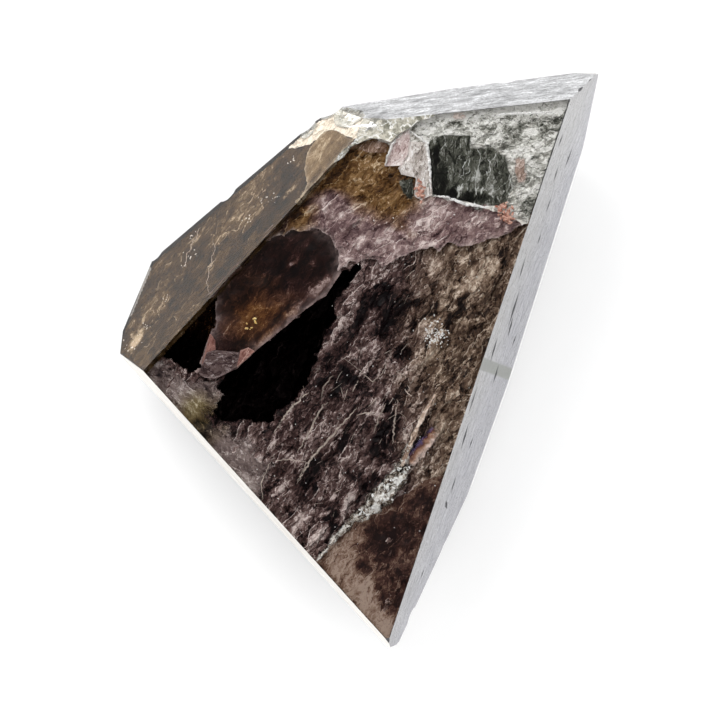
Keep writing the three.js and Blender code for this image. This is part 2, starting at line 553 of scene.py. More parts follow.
def growth_material(name, palette, other=None, rim=None, rim_share=0.9, size=1.5, stretch=2.4,
                    contrast=1.9, bearing=STREAK_BEARING, bands=0.4, plate_size=1.1, chips=0.35,
                    chip_size=0.4, wisps=0.4, wisp_size=1.5, crease=0.35, soft=False, gloss=0.1,
                    roughness=0.4, relief=0.04):
    """Mineral growth whose colour goes through a palette of four, from dark to the palest lines.

    How light a place is comes from the sheet, from bands and noise at every scale, from plates and
    chips of one shade each with painted highlights and painted shade on their edges, from thin wisps,
    and from painted highlights on the creases. The other palette takes over where the tone is 1.
    """
    p = Pattern(name)
    flow = p.streaked(bearing, stretch, warp=0.8, size=2.2)
    loose = p.streaked(bearing, 1.4, warp=0.9, size=1.8)
    broken = p.noise(loose, 0.9, detail=4, low=0.42, high=0.6)
    level = p.total(
        p.attribute("light"),
        p.swing(p.noise(flow, size, detail=7, roughness=0.77), contrast),
        p.swing(p.attribute("shade"), chips),
        p.swing(p.noise(p.streaked(bearing, 6, warp=0.5), 1.5, detail=4), bands * 2),
        p.swing(p.cells(flow, plate_size), chips),
        p.swing(p.cells(loose, chip_size), chips),
        # painted highlights and painted shade along one side of each plate and chip
        p.product(p.painted_cell_edge_shading(flow, plate_size), chips * 2.2),
        p.product(p.painted_cell_edge_shading(loose, chip_size), chips),
        p.product(p.wisps(flow, wisp_size, 0.022), broken, wisps),
        p.product(p.wisps(loose, wisp_size * 0.5, 0.035), broken, wisps),
        p.product(p.wisps(loose, wisp_size * 0.8, 0.02), -wisps * 0.7),
        # painted highlights along the creases between flakes
        p.product(p.attribute("crease"), broken, crease),
    )
    colours = [inner(*colour) for colour in palette]
    if other:
        change = p.attribute("tone")
        colours = [p.mix(first, inner(*second), change) for first, second in zip(colours, other)]
    colour = p.mix(colours[0], colours[1], p.spread(level, 0, 0.35))
    colour = p.mix(colour, colours[2], p.spread(level, 0.35, 0.7))
    colour = p.mix(colour, colours[3], p.spread(level, 0.7, 1.1))
    if rim:
        share = p.product(p.attribute("edge"), p.between(0.3, 1, broken), rim_share)
        colour = p.mix(colour, inner(*rim), share)
    if soft:
        cover = p.total(p.attribute("cover"), p.swing(p.noise(loose, 1.2, detail=5, roughness=0.6), 1.4))
        return p.finish(colour, level, relief, Roughness=roughness, Specular_IOR_Level=gloss,
                        Alpha=p.spread(cover, 0.2, 0.55))
    return p.finish(colour, level, relief, Roughness=roughness, Specular_IOR_Level=gloss)


def quartz_material(name, roughness, milk=0.0, milk_colour=None, relief=None, mirror=(1, 1, 1)):
    """See-through quartz. Lamps shine into it through a clear shadow; milk is its frosted share."""
    p = Pattern(name)
    glass = p.add("BsdfPrincipled")
    if milk_colour:
        p.feed(glass.inputs["Base Color"], milk_colour(p))
    glass.inputs["Roughness"].default_value = roughness
    glass.inputs["IOR"].default_value = IOR_QUARTZ
    glass.inputs["Specular Tint"].default_value = (*mirror, 1)
    glass.inputs["Transmission Weight"].default_value = 1 - milk
    if relief:
        bump = p.add("Bump")
        bump.inputs["Distance"].default_value = 0.03 * MM
        p.feed(bump.inputs["Height"], relief(p))
        p.feed(glass.inputs["Normal"], bump.outputs["Normal"])
    clear = p.add("BsdfTransparent")
    clear.inputs["Color"].default_value = CLEAR_SHADOW
    mix = p.add("MixShader")
    p.feed(mix.inputs["Fac"], p.add("LightPath").outputs["Is Shadow Ray"])
    p.feed(mix.inputs[1], glass.outputs["BSDF"])
    p.feed(mix.inputs[2], clear.outputs["BSDF"])
    smoke = p.add("VolumeAbsorption")
    smoke.inputs["Color"].default_value = SMOKE_COLOUR
    smoke.inputs["Density"].default_value = SMOKE_DENSITY
    out = p.add("OutputMaterial")
    p.feed(out.inputs["Surface"], mix.outputs[0])
    p.feed(out.inputs["Volume"], smoke.outputs[0])
    return p.material


# The way the right facet's streaks run, and how far along them lies its faint band, a painted refracted view
# of an edge
FROST_BEARING = 71.7
PAINTED_REFRACTION_BAND = 4.4


def grainy(p, colour, dark, strength):
    """A colour with a fine dark grain in it."""
    grain = p.noise(p.place, 0.22, detail=2, roughness=0.7, low=0.45, high=0.75)
    return p.mix(colour, screen(*dark), p.product(grain, strength))


def lavender_frost_and_painted_floor_light(p):
    """Cream near the window's edge, lavender below, streaked along the facet: partly frost, partly painted
    light from the floor seen through the clear rim. Its one faint band is a painted refracted view of an
    edge, and a painted highlight runs along its outer edge.
    """
    streaks = p.noise(p.streaked(FROST_BEARING, 5), 0.4, detail=5, roughness=0.8, low=0.35, high=0.65)
    height = p.spread(p.part(p.place, "Z"), 21, 12)
    colour = p.mix(screen(118, 116, 112), screen(108, 108, 122), height)
    colour = p.mix(colour, screen(204, 204, 208), p.product(streaks, 0.8))
    turn = math.radians(FROST_BEARING)
    along = p.vector("DOT_PRODUCT", p.place, (math.cos(turn), math.sin(turn), 0))
    off = p.math("ABSOLUTE", p.math("SUBTRACT", along, PAINTED_REFRACTION_BAND))
    # painted refracted view of an edge: a faint greenish grey band
    colour = p.mix(colour, screen(112, 116, 108), p.spread(off, 0.9, 0.6))
    undersides = [facet for facet in FACETS if facet[0][2] < -0.1 and facet[0] @ RIGHT[0] > 0.6]
    return painted_edge_highlight(p, grainy(p, colour, (24, 24, 28), 0.75), undersides)


def painted_edge_highlight(p, colour, facets):
    """A colour with a painted white highlight along the edges with some other facets."""
    for normal, reach in facets:
        gap = p.math("SUBTRACT", float(reach), p.vector("DOT_PRODUCT", p.place, tuple(normal)))
        # painted highlight: white near the edge
        colour = p.mix(colour, screen(250, 250, 250), p.spread(gap, 0.5, 0.3))
    return colour


def cream_crumble_with_painted_shade(p):
    """Cream with grey patches painted as shade in its hollows, and thin white veins, as rough quartz breaks.
    """
    # painted shade: the grey in the hollows
    hollow_shade = p.noise(p.place, 0.9, detail=6, roughness=0.78, low=0.36, high=0.6)
    colour = p.mix(screen(240, 235, 220), screen(118, 117, 104), hollow_shade)
    return p.mix(colour, screen(255, 255, 252), p.wisps(p.place, 1.1, 0.035))


# Cream frost, pale partly as a painted reflection of the floor beside the stone.
def cream_frost_and_painted_reflection(p):
    streaks = p.noise(p.streaked(-45, 5), 0.8, low=0.4, high=0.7)
    return p.mix(screen(255, 250, 240), screen(226, 218, 206), streaks)


def warm_glass(p):
    return screen(255, 240, 222)


# Painted shade in the pits: their faces are dark grey.
def pit_painted_shade(p):
    return p.mix(screen(20, 20, 24), screen(64, 64, 68), p.noise(p.place, 0.4))


# Pale blue grey streaks; the paleness is partly a painted reflection of the bright surroundings.
def pale_blue_painted_reflection(p):
    streaks = p.noise(p.streaked(8, 2.5, warp=0.6), 1.1, detail=7, roughness=0.82, low=0.38, high=0.62)
    return grainy(p, p.mix(screen(52, 53, 56), screen(222, 223, 225), streaks), (10, 10, 12), 0.95)


def fine_lines(p):
    return p.noise(p.streaked(8, 4, warp=0.4), 0.6, detail=4)


def crumbs(p):
    return p.product(p.noise(p.place, 0.5, detail=4), 4)


# The stone's skin

def skin_finishes():
    """Each finish of the skin, and the ground facet that has it."""
    return [
        (WINDOW, quartz_material("polished quartz", 0.01)),
        (LEFT, quartz_material("smooth quartz", 0.02, 0, warm_glass, mirror=(0.08, 0.06, 0.04))),
        (RIGHT, quartz_material("frosted quartz", 0.25, 0.72, lavender_frost_and_painted_floor_light)),
        (TOP, quartz_material("lined quartz", 0.1, 0.72, pale_blue_painted_reflection, fine_lines)),
        (LOW, quartz_material("cream quartz with painted reflection", 0.2, 0.75, cream_frost_and_painted_reflection)),
        (None, quartz_material("unpolished quartz", 0.2, 0.55, cream_crumble_with_painted_shade, crumbs)),
        (None, quartz_material("broken quartz", 0.25, 0.3, cream_crumble_with_painted_shade, crumbs)),
        (None, quartz_material("pitted quartz", 0.4, 0.85, pit_painted_shade)),
    ]


# The strip of the window beside the natural break that the polishing left rough
ROUGH_STRIP = [(-5, 25.7), (-2.2, 25.8), (-0.9, 26), (0.3, 26.5), (1.4, 27), (2.7, 26.9),
               (3.9, 26.5), (4.8, 27.4), (6.4, 28.3), (7.2, 29), (8.9, 29.4), (10.5, 31), (8, 34),
               (-5, 34)]


def cut_along(work, outline):
    """Parts a mesh's faces along upright planes through an outline; their shape stays as it is."""
    corners = [Vector((x, y, 0)) * MM for x, y in outline]
    for start, end in zip(corners, corners[1:] + corners[:1]):
        geometry = work.verts[:] + work.edges[:] + work.faces[:]
        side = (end - start).cross((0, 0, 1)).normalized()
        bmesh.ops.bisect_plane(work, geom=geometry, plane_co=start, plane_no=side)


def stone_skin():
    """The quartz itself: the CAD solid with its facets finished."""
    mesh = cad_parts[STONE].data.copy()
    mesh.name = "quartz"
    skin = bpy.data.objects.new("quartz", mesh)
    bpy.context.scene.collection.objects.link(skin)
    work = bmesh.new()
    work.from_mesh(mesh)
    bmesh.ops.remove_doubles(work, verts=work.verts, dist=SKIN_MERGE)
    cut_along(work, ROUGH_STRIP)
    work.to_mesh(mesh)
    work.free()
    finishes = skin_finishes()
    mesh.materials.clear()
    for _, material in finishes:
        mesh.materials.append(material)
    unpolished, broken, pitted = range(len(finishes) - 3, len(finishes))
    for face in mesh.polygons:
        face.use_smooth = False
        normal, centre = np.array(face.normal), np.array(face.center) / MM
        matches = [facet for facet in FACETS if normal @ facet[0] > SAME_FACING]
        if matches and matches[0] is WINDOW and outline_distance(centre[None, :2], ROUGH_STRIP)[0] > 0:
            face.material_index = unpolished
        elif matches:
            slots = [k for k, (facet, _) in enumerate(finishes) if facet is matches[0]]
            face.material_index = slots[0] if slots else 0
        else:
            # the pits' faces are painted dark, as shade in them
            near_right = RIGHT[1] - centre @ RIGHT[0] < PIT_ZONE
            face.material_index = pitted if near_right else broken
    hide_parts(STONE)
    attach(skin, BODY)
    return skin


# Growth that fills the stone

def clipped_polyhedron(planes):
    """The closed solid inside all of some planes, each a unit normal and a reach in mm."""
    work = bmesh.new()
    bmesh.ops.create_cube(work, size=200)
    for normal, reach in planes:
        geometry = work.verts[:] + work.edges[:] + work.faces[:]
        normal = Vector(normal)
        cut = bmesh.ops.bisect_plane(
            work, geom=geometry, plane_co=normal * reach, plane_no=normal, clear_outer=True
        )
        edges = [item for item in cut["geom_cut"] if isinstance(item, bmesh.types.BMEdge)]
        bmesh.ops.contextual_create(work, geom=edges)
    return work


def growth_body(name, planes, voxel, relief, material, seed):
    """A solid of growth: a clipped polyhedron with a fine, uneven surface that stays in its planes."""
    work = clipped_polyhedron(planes)
    mesh = bpy.data.meshes.new(name)
    work.to_mesh(mesh)
    work.free()
    rough = bpy.data.objects.new(name, mesh)
    bpy.context.scene.collection.objects.link(rough)
    remesh = rough.modifiers.new("remesh", "REMESH")
    remesh.mode = "VOXEL"
    remesh.voxel_size = voxel
    shape = rough.evaluated_get(bpy.context.evaluated_depsgraph_get()).to_mesh()
    points, normals = np.empty((2, len(shape.vertices) * 3))
    shape.vertices.foreach_get("co", points)
    shape.vertices.foreach_get("normal", normals)
    faces = [list(face.vertices) for face in shape.polygons]
    bpy.data.objects.remove(rough)
    bpy.data.meshes.remove(mesh)
    points, normals = points.reshape(-1, 3), normals.reshape(-1, 3)
    lift = layered_noise(points, 3.2, seed) + 0.5 * np.abs(layered_noise(points, 1.4, seed + 9, 3))
    points = points + normals * (lift * relief)[:, None]
    for normal, reach in planes:
        over = np.maximum(points @ np.array(normal) - reach, 0)
        points -= over[:, None] * np.array(normal)
    shade = 0.5 + 0.5 * layered_noise(points, 2.0, seed + 20)
    mesh_piece(name, points, faces, material, "inclusions", light=np.full(len(points), 0.45), shade=shade)


def inset_facets(window_depth, left_depth, flank_depth):
    """The stone's facets moved in, each by its own depth."""
    depths = {id(WINDOW[0]): window_depth, id(LEFT[0]): left_depth}
    return [(normal, reach - depths.get(id(normal), flank_depth)) for normal, reach in FACETS]


def cap_plane(side, overlap):
    """The plane between the smoky and the cloudy growth, facing the cloudy side where side is 1."""
    angle = math.radians(CAP_PLANE["bearing"])
    return (side * math.cos(angle), side * math.sin(angle), 0), side * CAP_PLANE["reach"] + overlap


def filling_growth():
    """The dark smoky growth that fills the stone, and the cloudy growth at its upper right end."""
    palette = [(5, 3, 4), (24, 17, 18), (60, 50, 50), (130, 120, 115)]
    smoky = growth_material("smoky growth", palette, contrast=1.6)
    growth_body("smoky_growth", inset_facets(4.0, 1.2, 0.6) + [cap_plane(1, 0.5)], 0.42, 0.5, smoky, 11)
    palette = [(84, 88, 88), (138, 140, 142), (190, 192, 194), (235, 235, 232)]
    cloudy = growth_material("cloudy growth", palette, bearing=8)
    growth_body("cloudy_growth", inset_facets(3.6, 2.4, 0.5) + [cap_plane(-1, 0)], 0.42, 0.35, cloudy, 31)


# Growth zones under the window, as seen from above

VOID = [(-0.8, 11.5), (-2.4, 10.3), (-4, 8), (-6.2, 6.5), (-9.2, 3.8), (-12.3, 1.4), (-15, -1),
        (-17, -3.2), (-17.9, -5.5), (-16.8, -7), (-14.2, -6.9), (-11.2, -7.2), (-9.3, -5.6),
        (-7.4, -4.2), (-5.8, -1.2), (-5, 1), (-4.2, 3.4), (-3.1, 5), (-3, 7.2), (-1.2, 9.2),
        (0.3, 11.2)]
SIDE_POCKET = [(-24.2, 0.9), (-21.8, 3.8), (-18.7, 7.1), (-17.2, 8), (-17.7, 4.4), (-19.4, -0.8),
               (-20.5, -1.2), (-22.4, 0.2)]
DARK_FLOOR = [(-25, 1), (-18, 9), (0, 13), (1, 11), (-5, -7), (-12, -11), (-19, -9)]
FLAKY = [(-30, 2), (-18, 12), (-8, 20), (24, 20), (24, -10), (4, -37), (-6, -30)]
FLAKY_PATCHES = [
    (0.1, 30, [(-13, -8.6, 5, 2.2), (-9.6, -7.6, 3.4, 1.8)]),
    (0.22, 57, [(-12, -9.2, 5, 1.8), (-8, -7.6, 4.5, 2.2), (-3.2, -5.4, 3.4, 1.8),
                (-6.5, -15.3, 2.6, 1.4), (1.5, -16.2, 2.8, 1.6), (12.2, -2.6, 4, 2.2),
                (11.7, -6, 3.6, 1.8), (15.8, 6.6, 2.8, 1.4), (5.6, 10.6, 3.4, 1.5),
                (0.2, -8.8, 3, 1.6), (-2.2, 0.8, 3, 2)]),
    (-0.2, 57, [(3, 8.3, 3, 2.2), (4.6, 6.4, 3.8, 1.8), (6.4, 7.4, 1.8, 1.2), (2.8, 3.8, 3, 1.2),
                (6.8, 4.4, 2, 1.1), (5, 1, 1.8, 1.8), (-3.8, 0.6, 1.8, 1.3), (3.6, -5.2, 1.6, 1.2),
                (3.8, -8.4, 4, 1.8), (2.6, -10.8, 2.4, 1.3), (-2.1, -9.6, 3.4, 1.5),
                (9, 6.3, 2.2, 1.1), (-5.4, -13.6, 3.2, 2.2), (13, 7.4, 2.8, 0.9),
                (8.6, 2.3, 1.5, 0.9), (10.9, 4.6, 1.8, 0.8)]),
    (-0.1, 68, [(0.6, 6, 3.4, 1.1), (-4.4, -2, 3.6, 1), (-2.6, -3.2, 2.4, 1), (-3.9, -11.8, 2, 1.6)]),
    (0.5, 80, [(1.9, 0.4, 4.2, 2.6)]),
    (-0.15, 140, [(-1, -2, 3, 1.2), (0.3, -14.6, 2.8, 1.5), (2.5, -14.8, 1.8, 1.2),
                  (-3, -19.5, 2.6, 1.8)]),
    (0.68, 57, [(7.4, 9, 2.2, 1.1), (8.2, 4.2, 2.6, 1.3), (9.4, 3.2, 2.2, 1.1), (8.8, 1.1, 1.8, 0.9),
                (10.6, 7.8, 2.8, 0.9), (12.8, 8.9, 2, 0.7), (9.3, 11.5, 1.6, 1), (2.6, -4.9, 2, 0.9),
                (10.4, -8, 1.6, 1)]),
    (0.8, 57, [(-12, -13.1, 3, 0.9), (-9, -15.3, 2, 0.8), (-1, -16.8, 1.4, 1), (-1.4, -18.9, 2, 1.1),
               (-7, -19.8, 3.6, 1.2), (-4.6, -21.2, 2.6, 1.3)]),
    (0.6, 60, [(-2, 5.6, 4.6, 1), (10.2, 9.4, 4.6, 0.6), (12.2, 1.5, 3, 0.9), (-9.2, -7.8, 4.4, 0.5),
               (-6.8, -9.9, 4.6, 0.5), (-3.2, -9.2, 4.4, 1.2), (2.4, 11.2, 3, 1.8),
               (8, -12.5, 3.4, 1.8), (10.2, -9.8, 2.8, 1.1), (-8.5, -17.6, 4, 1.4),
               (-13.6, -11.2, 4, 2), (15, 10, 5, 2)]),
    (0.65, 0, [(-8.4, -11.8, 3.6, 0.8), (3, -13.2, 2.2, 1), (2, -6.2, 2.2, 0.5)]),
    (1.1, 35, [(-4.1, -18.6, 1.4, 0.6), (-3.2, -16.8, 1, 0.5)]),
]
CLOUD = [(-29.5, 2.5), (-24.6, 1.2), (-22.4, 0), (-20.6, -1.4), (-17.6, -2.4), (-16.6, -4.4),
         (-17.6, -6.6), (-15.4, -8.4), (-12.6, -9.6), (-10.6, -12.6), (-11.2, -17.5), (-16, -20),
         (-30, -6)]
CLOUD_PATCHES = [
    (0.1, 40, [(-18.6, -8, 3.6, 2.6), (-24, -1.6, 1.2, 0.7)]),
    (0.32, 57, [(-22, -0.9, 3, 0.9), (-15.4, -6.6, 2.6, 1.4)]),
    (0.85, -25, [(-21.6, -1.4, 2.6, 0.4), (-24.4, -0.2, 1.6, 1.1)]),
    (0.62, -45, [(-21, -4, 4.4, 2.6), (-14.5, -11.4, 4, 2.6), (-13, -14.2, 3, 2)]),
]
PHANTOM = [(-24.5, 2), (-19.8, -1.4), (-19.2, 0.4), (-17.9, 3.9), (-17.9, 8.4), (-12.9, 14.8),
           (-9, 16.8), (-5.4, 16.5), (-3.2, 15.5), (-1.9, 13.1), (-2, 10.8), (-3.9, 8), (-6.2, 6.5),
           (-8.6, 4.4), (-12.3, 1.4), (-14.8, -0.9), (-16.3, -1.7), (-17.6, -2.1), (-19.4, -1.6)]
PHANTOM_PATCHES = [
    (0.1, 48, [(-9, 14, 6, 2.4), (-5, 14, 3.4, 2.4), (-11, 11, 5, 2), (-14.6, 8.4, 3, 1.2),
               (-7, 11, 2, 1.4)]),
    (0.1, 10, [(-13.6, 2.8, 3.6, 1.1)]),
    (0.48, 48, [(-12.6, 5.6, 5.4, 2.6), (-9.6, 7.4, 3, 1.6), (-16.2, 4.2, 2.2, 1.8)]),
    (0.75, 42, [(-4.6, 9, 3.4, 0.8), (-7.6, 6.2, 3, 0.6), (-10.8, 3.3, 3.4, 0.7),
                (-8, 12.2, 1.6, 0.3)]),
    (0.5, 50, [(-15.6, 10.2, 4.4, 1)]),
]
UPPER = [(-17.5, 12.6), (-12.5, 19), (-4, 30), (8, 28), (12, 22), (20.8, 17.5), (18.9, 15.6),
         (15.4, 14.5), (13.6, 14.1), (11.1, 14.3), (9.6, 13.4), (8.7, 13.8), (6.9, 13.4),
         (4.8, 12.5), (3.1, 11.7), (1.2, 12.7), (-0.3, 12.2), (-1.8, 11.3), (-2.5, 10.7), (-2.4, 13),
         (-2.9, 14.5), (-3.8, 15.6), (-5.7, 16.2), (-9.5, 15.4), (-13, 13.2)]
UPPER_PATCHES = [
    (0.05, 48, [(-8.6, 17, 5.6, 1.8), (-6.6, 19, 2.6, 1.8)]),
    (0.22, 35, [(2.2, 17.2, 4.4, 1), (0.6, 20.6, 2.4, 0.8), (-1, 25.2, 2, 1.2), (-4.2, 21.2, 2.2, 1),
                (3.8, 21.4, 3.2, 1.6), (-2, 15.8, 2.4, 1), (-0.6, 18.6, 2.2, 0.7)]),
    (0.5, 40, [(0.4, 22.4, 6, 3), (2.4, 24, 3, 1.6)]),
    (0.8, 30, [(-4.8, 18.8, 2.6, 1.6), (-1.6, 12.4, 2, 1.4), (3.2, 15.2, 3.4, 1.3),
               (0, 19, 2.2, 0.7), (-0.4, 14.2, 2.4, 0.8), (2, 22.6, 2.4, 0.5), (10, 19, 4, 0.9),
               (9, 14.6, 4, 0.6)]),
    (0.66, 20, [(9, 16.8, 7, 2.2), (14.5, 17.2, 5, 1.8), (6.8, 18.4, 4, 1.4), (-2.6, 17.6, 2.6, 1.4)]),
    (0.35, 40, [(5.2, 14.2, 2.4, 1.2), (12, 15.2, 3, 0.8)]),
]
AMBER = [(-14, 10), (-3.6, 25), (0.7, 28), (8, 27), (7.6, 19.3), (5.5, 16.2), (2.4, 16.9),
         (-0.7, 19), (-3.4, 20.4), (-5.5, 19.5), (-5.7, 15)]
CAP = [(-6.4, 31), (-4.4, 29), (-2, 27.2), (-1.6, 26.4), (-0.4, 26), (0.5, 26.8), (2.4, 27),
       (3.6, 26.1), (4.8, 23.8), (6.8, 22.5), (8, 20.1), (10.9, 19.6), (13.6, 18.8), (16, 18.5),
       (17.8, 17.7), (19.8, 16.7), (24, 16), (33, 37), (-5, 34)]
CAP_PATCHES = [
    (1.0, 5, [(19, 25.2, 6, 1), (14, 30.6, 18, 1.6)]),
    (1.0, 5, [(1, 28.2, 6, 2.4), (-2.6, 28.6, 3, 2.4), (7, 28.6, 5, 1.6)]),
    (0.3, 15, [(3.6, 29.2, 1.8, 1.2), (6.8, 28.4, 0.9, 0.8), (17, 25.6, 2.4, 1),
               (14.8, 24.9, 1.8, 0.8), (18.4, 27.4, 2.2, 1), (22.6, 29, 3.4, 1),
               (22.8, 27.6, 1.6, 1), (20, 28.4, 2, 0.8), (15.4, 28.4, 2.4, 0.8),
               (11.6, 28.6, 1.8, 0.9)]),
    (0.2, 60, [(20.4, 18.6, 2.4, 1.6), (18.8, 21.8, 2.2, 1.2)]),
    (1.25, 10, [(20.8, 27.4, 1.6, 1), (-0.6, 28.9, 2.4, 0.5), (1.4, 27.2, 2.4, 0.4),
                (8, 27.6, 2, 0.4)]),
]
ROSE_LUMP = [(-0.3, 25.4), (0, 26.2), (1, 26.8), (2.4, 27), (3.6, 26.5), (3.5, 25.2), (1.8, 25.1)]
BROWN_TIP = [(-5.4, -24.8), (-2.3, -20.9), (0.9, -18.7), (4.1, -17.1), (8.1, -14.5), (11.6, -13.3),
             (12.5, -20), (5.1, -36.8), (0, -33)]
BROWN_PATCHES = [
    (0.95, -48, [(-3, -24, 5, 3.6), (0.6, -28.6, 5, 2.6), (2.4, -32, 4, 3)]),
    (0.65, 20, [(-0.4, -21.4, 4, 1.8), (1.6, -19.2, 3, 0.8)]),
    (0.02, 15, [(4.6, -20, 5.6, 2.6), (4, -22.8, 5.6, 2), (7.6, -17.4, 3.2, 2.2),
                (0.6, -25.2, 1.8, 1.4)]),
    (0.3, 75, [(5.2, -25.2, 4.4, 1.8), (4.4, -28.4, 4, 1.4)]),
]

# Small crystals with straight edges, and two stains
PINK_CRYSTAL = [(3.2, 23.6), (3.6, 24.6), (4, 26.4), (5.2, 27.6), (6.2, 28.1), (6.3, 26.5), (6, 25),
                (5.2, 23.7)]
PALE_COLUMN = [(6.3, 26.6), (8.4, 26.4), (9, 20.2), (7.6, 19.5), (6.8, 20), (7, 22.2), (5.2, 22.6),
               (4.8, 23.4), (6, 24.6)]
DARK_NOOK = [(4.7, 22), (6.8, 22.3), (7, 20.4), (6.4, 19.3), (5.4, 20.2)]
DARK_BLOCK = [(8.5, 26.4), (9.4, 27.3), (13.4, 27.2), (13.7, 24.2), (13.2, 19.1), (11, 19.7),
              (9, 20.2)]
SECOND_BLOCK = [(12.2, 26.4), (15.4, 26.2), (18.2, 25.2), (19.2, 21.2), (18.2, 18.2), (15, 18.2),
                (12, 19)]
BROWN_STAIN = [(18.6, 24.6), (19.4, 25.4), (20.4, 24.2), (20.8, 22.6), (20.2, 21.2), (19.2, 21.4),
               (18.5, 22.8)]
PINK_STAIN = [(11, 29.4), (11.6, 30.4), (12.8, 31), (13.8, 30.6), (13, 29.6), (11.8, 28.8)]
BLOCK_PATCHES_AND_HIGHLIGHTS = [
    (0.0, 80, [(9.7, 21.6, 3.4, 1.6), (9.4, 24.8, 2.6, 1), (13, 19.9, 1.2, 5)]),
    # painted highlight along the dark block's top edge, with a lighter patch inside it
    (0.5, 20, [(11.4, 26.8, 3, 0.5), (11.6, 23.4, 1.4, 0.6)]),
    # painted highlights: bright arcs along the blocks' lower edges
    (1.0, 75, [(12.3, 20.8, 1.2, 0.3), (14.2, 20.2, 1.2, 0.3), (15.3, 20.3, 1.2, 0.2)]),
]
LEFT_TIP_FACET = [(-18.1, 3.4), (-17.5, 2.6), (-17.4, 1.4), (-18.4, 1.1), (-19.4, -1.3)]
GREY_TIP_FACET = [(-19.5, -1.5), (-18.5, 1.1), (-17.3, 1.3), (-14.5, 1.1), (-14.7, -0.5),
                  (-15.9, -1.4), (-17.5, -2.1), (-18.8, -2)]
RIGHT_TIP_FACET = [(-14.4, 1.3), (-13.4, 1.7), (-12.6, 1.2), (-14.9, -0.8), (-14.6, 0.3)]


def flaky_light(places):
    """The flaky growth darkens towards the void's lower half."""
    to_void = -outline_distance(places, VOID)
    low = np.clip((2 - places[:, 1]) / 3, 0, 1)
    return 0.35 - 0.4 * low * np.exp(-np.maximum(to_void, 0) / 1.3)


def warm_share(places):
    """How much warmer the flaky growth is: most along the right edge."""
    return np.clip((places[:, 0] - 4) / 6 + 0.6 * layered_noise(places, 5, 71), 0, 1)


def amber_share(places):
    return np.clip(0.5 + outline_distance(places, AMBER) / 2 + 0.9 * layered_noise(places, 2.5, 72), 0, 1)


def near_share(places, middle, radius, level, seed):
    """1 round a place and 0 away from it, with a border that wanders."""
    far = np.hypot(*(places - middle).T) / radius
    return np.clip(level - far + 0.5 * layered_noise(places, 2, seed), 0, 1)


def golden_share(places):
    return near_share(places, (-12.5, 5.6), 5, 1.2, 74)


def cream_share(places):
    return np.clip((8 - places[:, 0]) / 6 + 0.5 * layered_noise(places, 2, 73), 0, 1)


def olive_share(places):
    """1 in the olive spot by the void's lower end, 0 in the grey round it."""
    return near_share(places, (-19.6, -6.6), 2.6, 1.6, 75)


def pocket_share(places):
    """1 in the side pocket's upper half, where its floor is brown."""
    high = np.clip((places @ np.array([0.5, 1]) + 7) / 3, 0, 1)
    return high * (outline_distance(places, SIDE_POCKET) > -1)


def dark_floor():
    brown = [(6, 3, 2), (26, 15, 9), (62, 38, 22), (150, 110, 66)]
    black = growth_material("black growth", [(0, 0, 0), (2, 1, 1), (7, 5, 5), (24, 19, 19)], brown, gloss=0)
    growth_sheet("black_growth", DARK_FLOOR, 3.2, gentle(3, 0.3, 2), black, seed=3, thickness=1, light=0.25,
                 tone=pocket_share)


def flaky_growth():
    """The lower two thirds: dark flakes along one bearing, with creases that catch the light."""
    purple = [(8, 4, 5), (60, 43, 41), (114, 94, 90), (215, 200, 194)]
    brown = [(16, 9, 7), (84, 66, 54), (142, 122, 104), (222, 206, 186)]
    material = growth_material("flaky growth", purple, brown, soft=True, contrast=1.15, stretch=3,
                               crease=0.4, chips=0.35, wisps=0.35)
    surface = flakes(STREAK_BEARING, 3, 1.3, 0.4, 4)
    growth_sheet("flaky_growth", FLAKY, 1.9, surface, material, seed=5, ragged_size=1.2, tone=warm_share,
                 light=flaky_light, patches=FLAKY_PATCHES, holes=[VOID, SIDE_POCKET],
                 under=[PHANTOM, UPPER], fade=0.6)


def cloud_growth():
    """The grey cloud along the low facet, with an olive spot in it."""
    grey = [(24, 17, 19), (74, 62, 60), (122, 108, 104), (205, 195, 190)]
    olive = [(16, 12, 5), (66, 54, 34), (110, 96, 66), (190, 180, 150)]
    cloud = growth_material("grey cloud", grey, olive, soft=True, stretch=1.4, contrast=1.3, chips=0.15,
                            wisps=0.3, crease=0, bearing=-45)
    growth_sheet("grey_cloud", CLOUD, 1.6, gentle(2.5, 0.4, 14), cloud, seed=13, ragged=0.9, light=0.45,
                 patches=CLOUD_PATCHES, tone=olive_share, fade=2.2)


def brown_tip():
    """The smooth brown tip below the fracture, with a dark pocket in it."""
    brown = growth_material("brown tip", [(22, 11, 10), (60, 38, 32), (112, 88, 74), (158, 138, 124)],
                            stretch=1.8, contrast=2.2, chips=0.25, wisps=0.3, crease=0)
    growth_sheet("brown_tip", BROWN_TIP, 1.4, gentle(3, 0.4, 16), brown, seed=15, light=0.35,
                 patches=BROWN_PATCHES)


def phantom_crystal():
    """The long dark crystal beside the void, golden in its middle, with a pale rim along the void."""
    plum = [(6, 2, 2), (34, 17, 14), (76, 53, 48), (176, 154, 148)]
    gold = [(14, 6, 2), (54, 29, 13), (102, 66, 36), (190, 150, 104)]
    material = growth_material("phantom crystal", plum, gold, rim=(172, 150, 146), size=1.2, stretch=4,
                               rim_share=0.85, contrast=1.25, chips=0.1, wisps=0.25, crease=0, bearing=52)
    growth_sheet("phantom_crystal", PHANTOM, 1.7, gentle(3, 0.3, 18), material, seed=17, ragged=0.1,
                 rise=1.0, thickness=1.5, light=0.22, patches=PHANTOM_PATCHES, tone=golden_share,
                 holes=[SIDE_POCKET], rim_width=0.4)


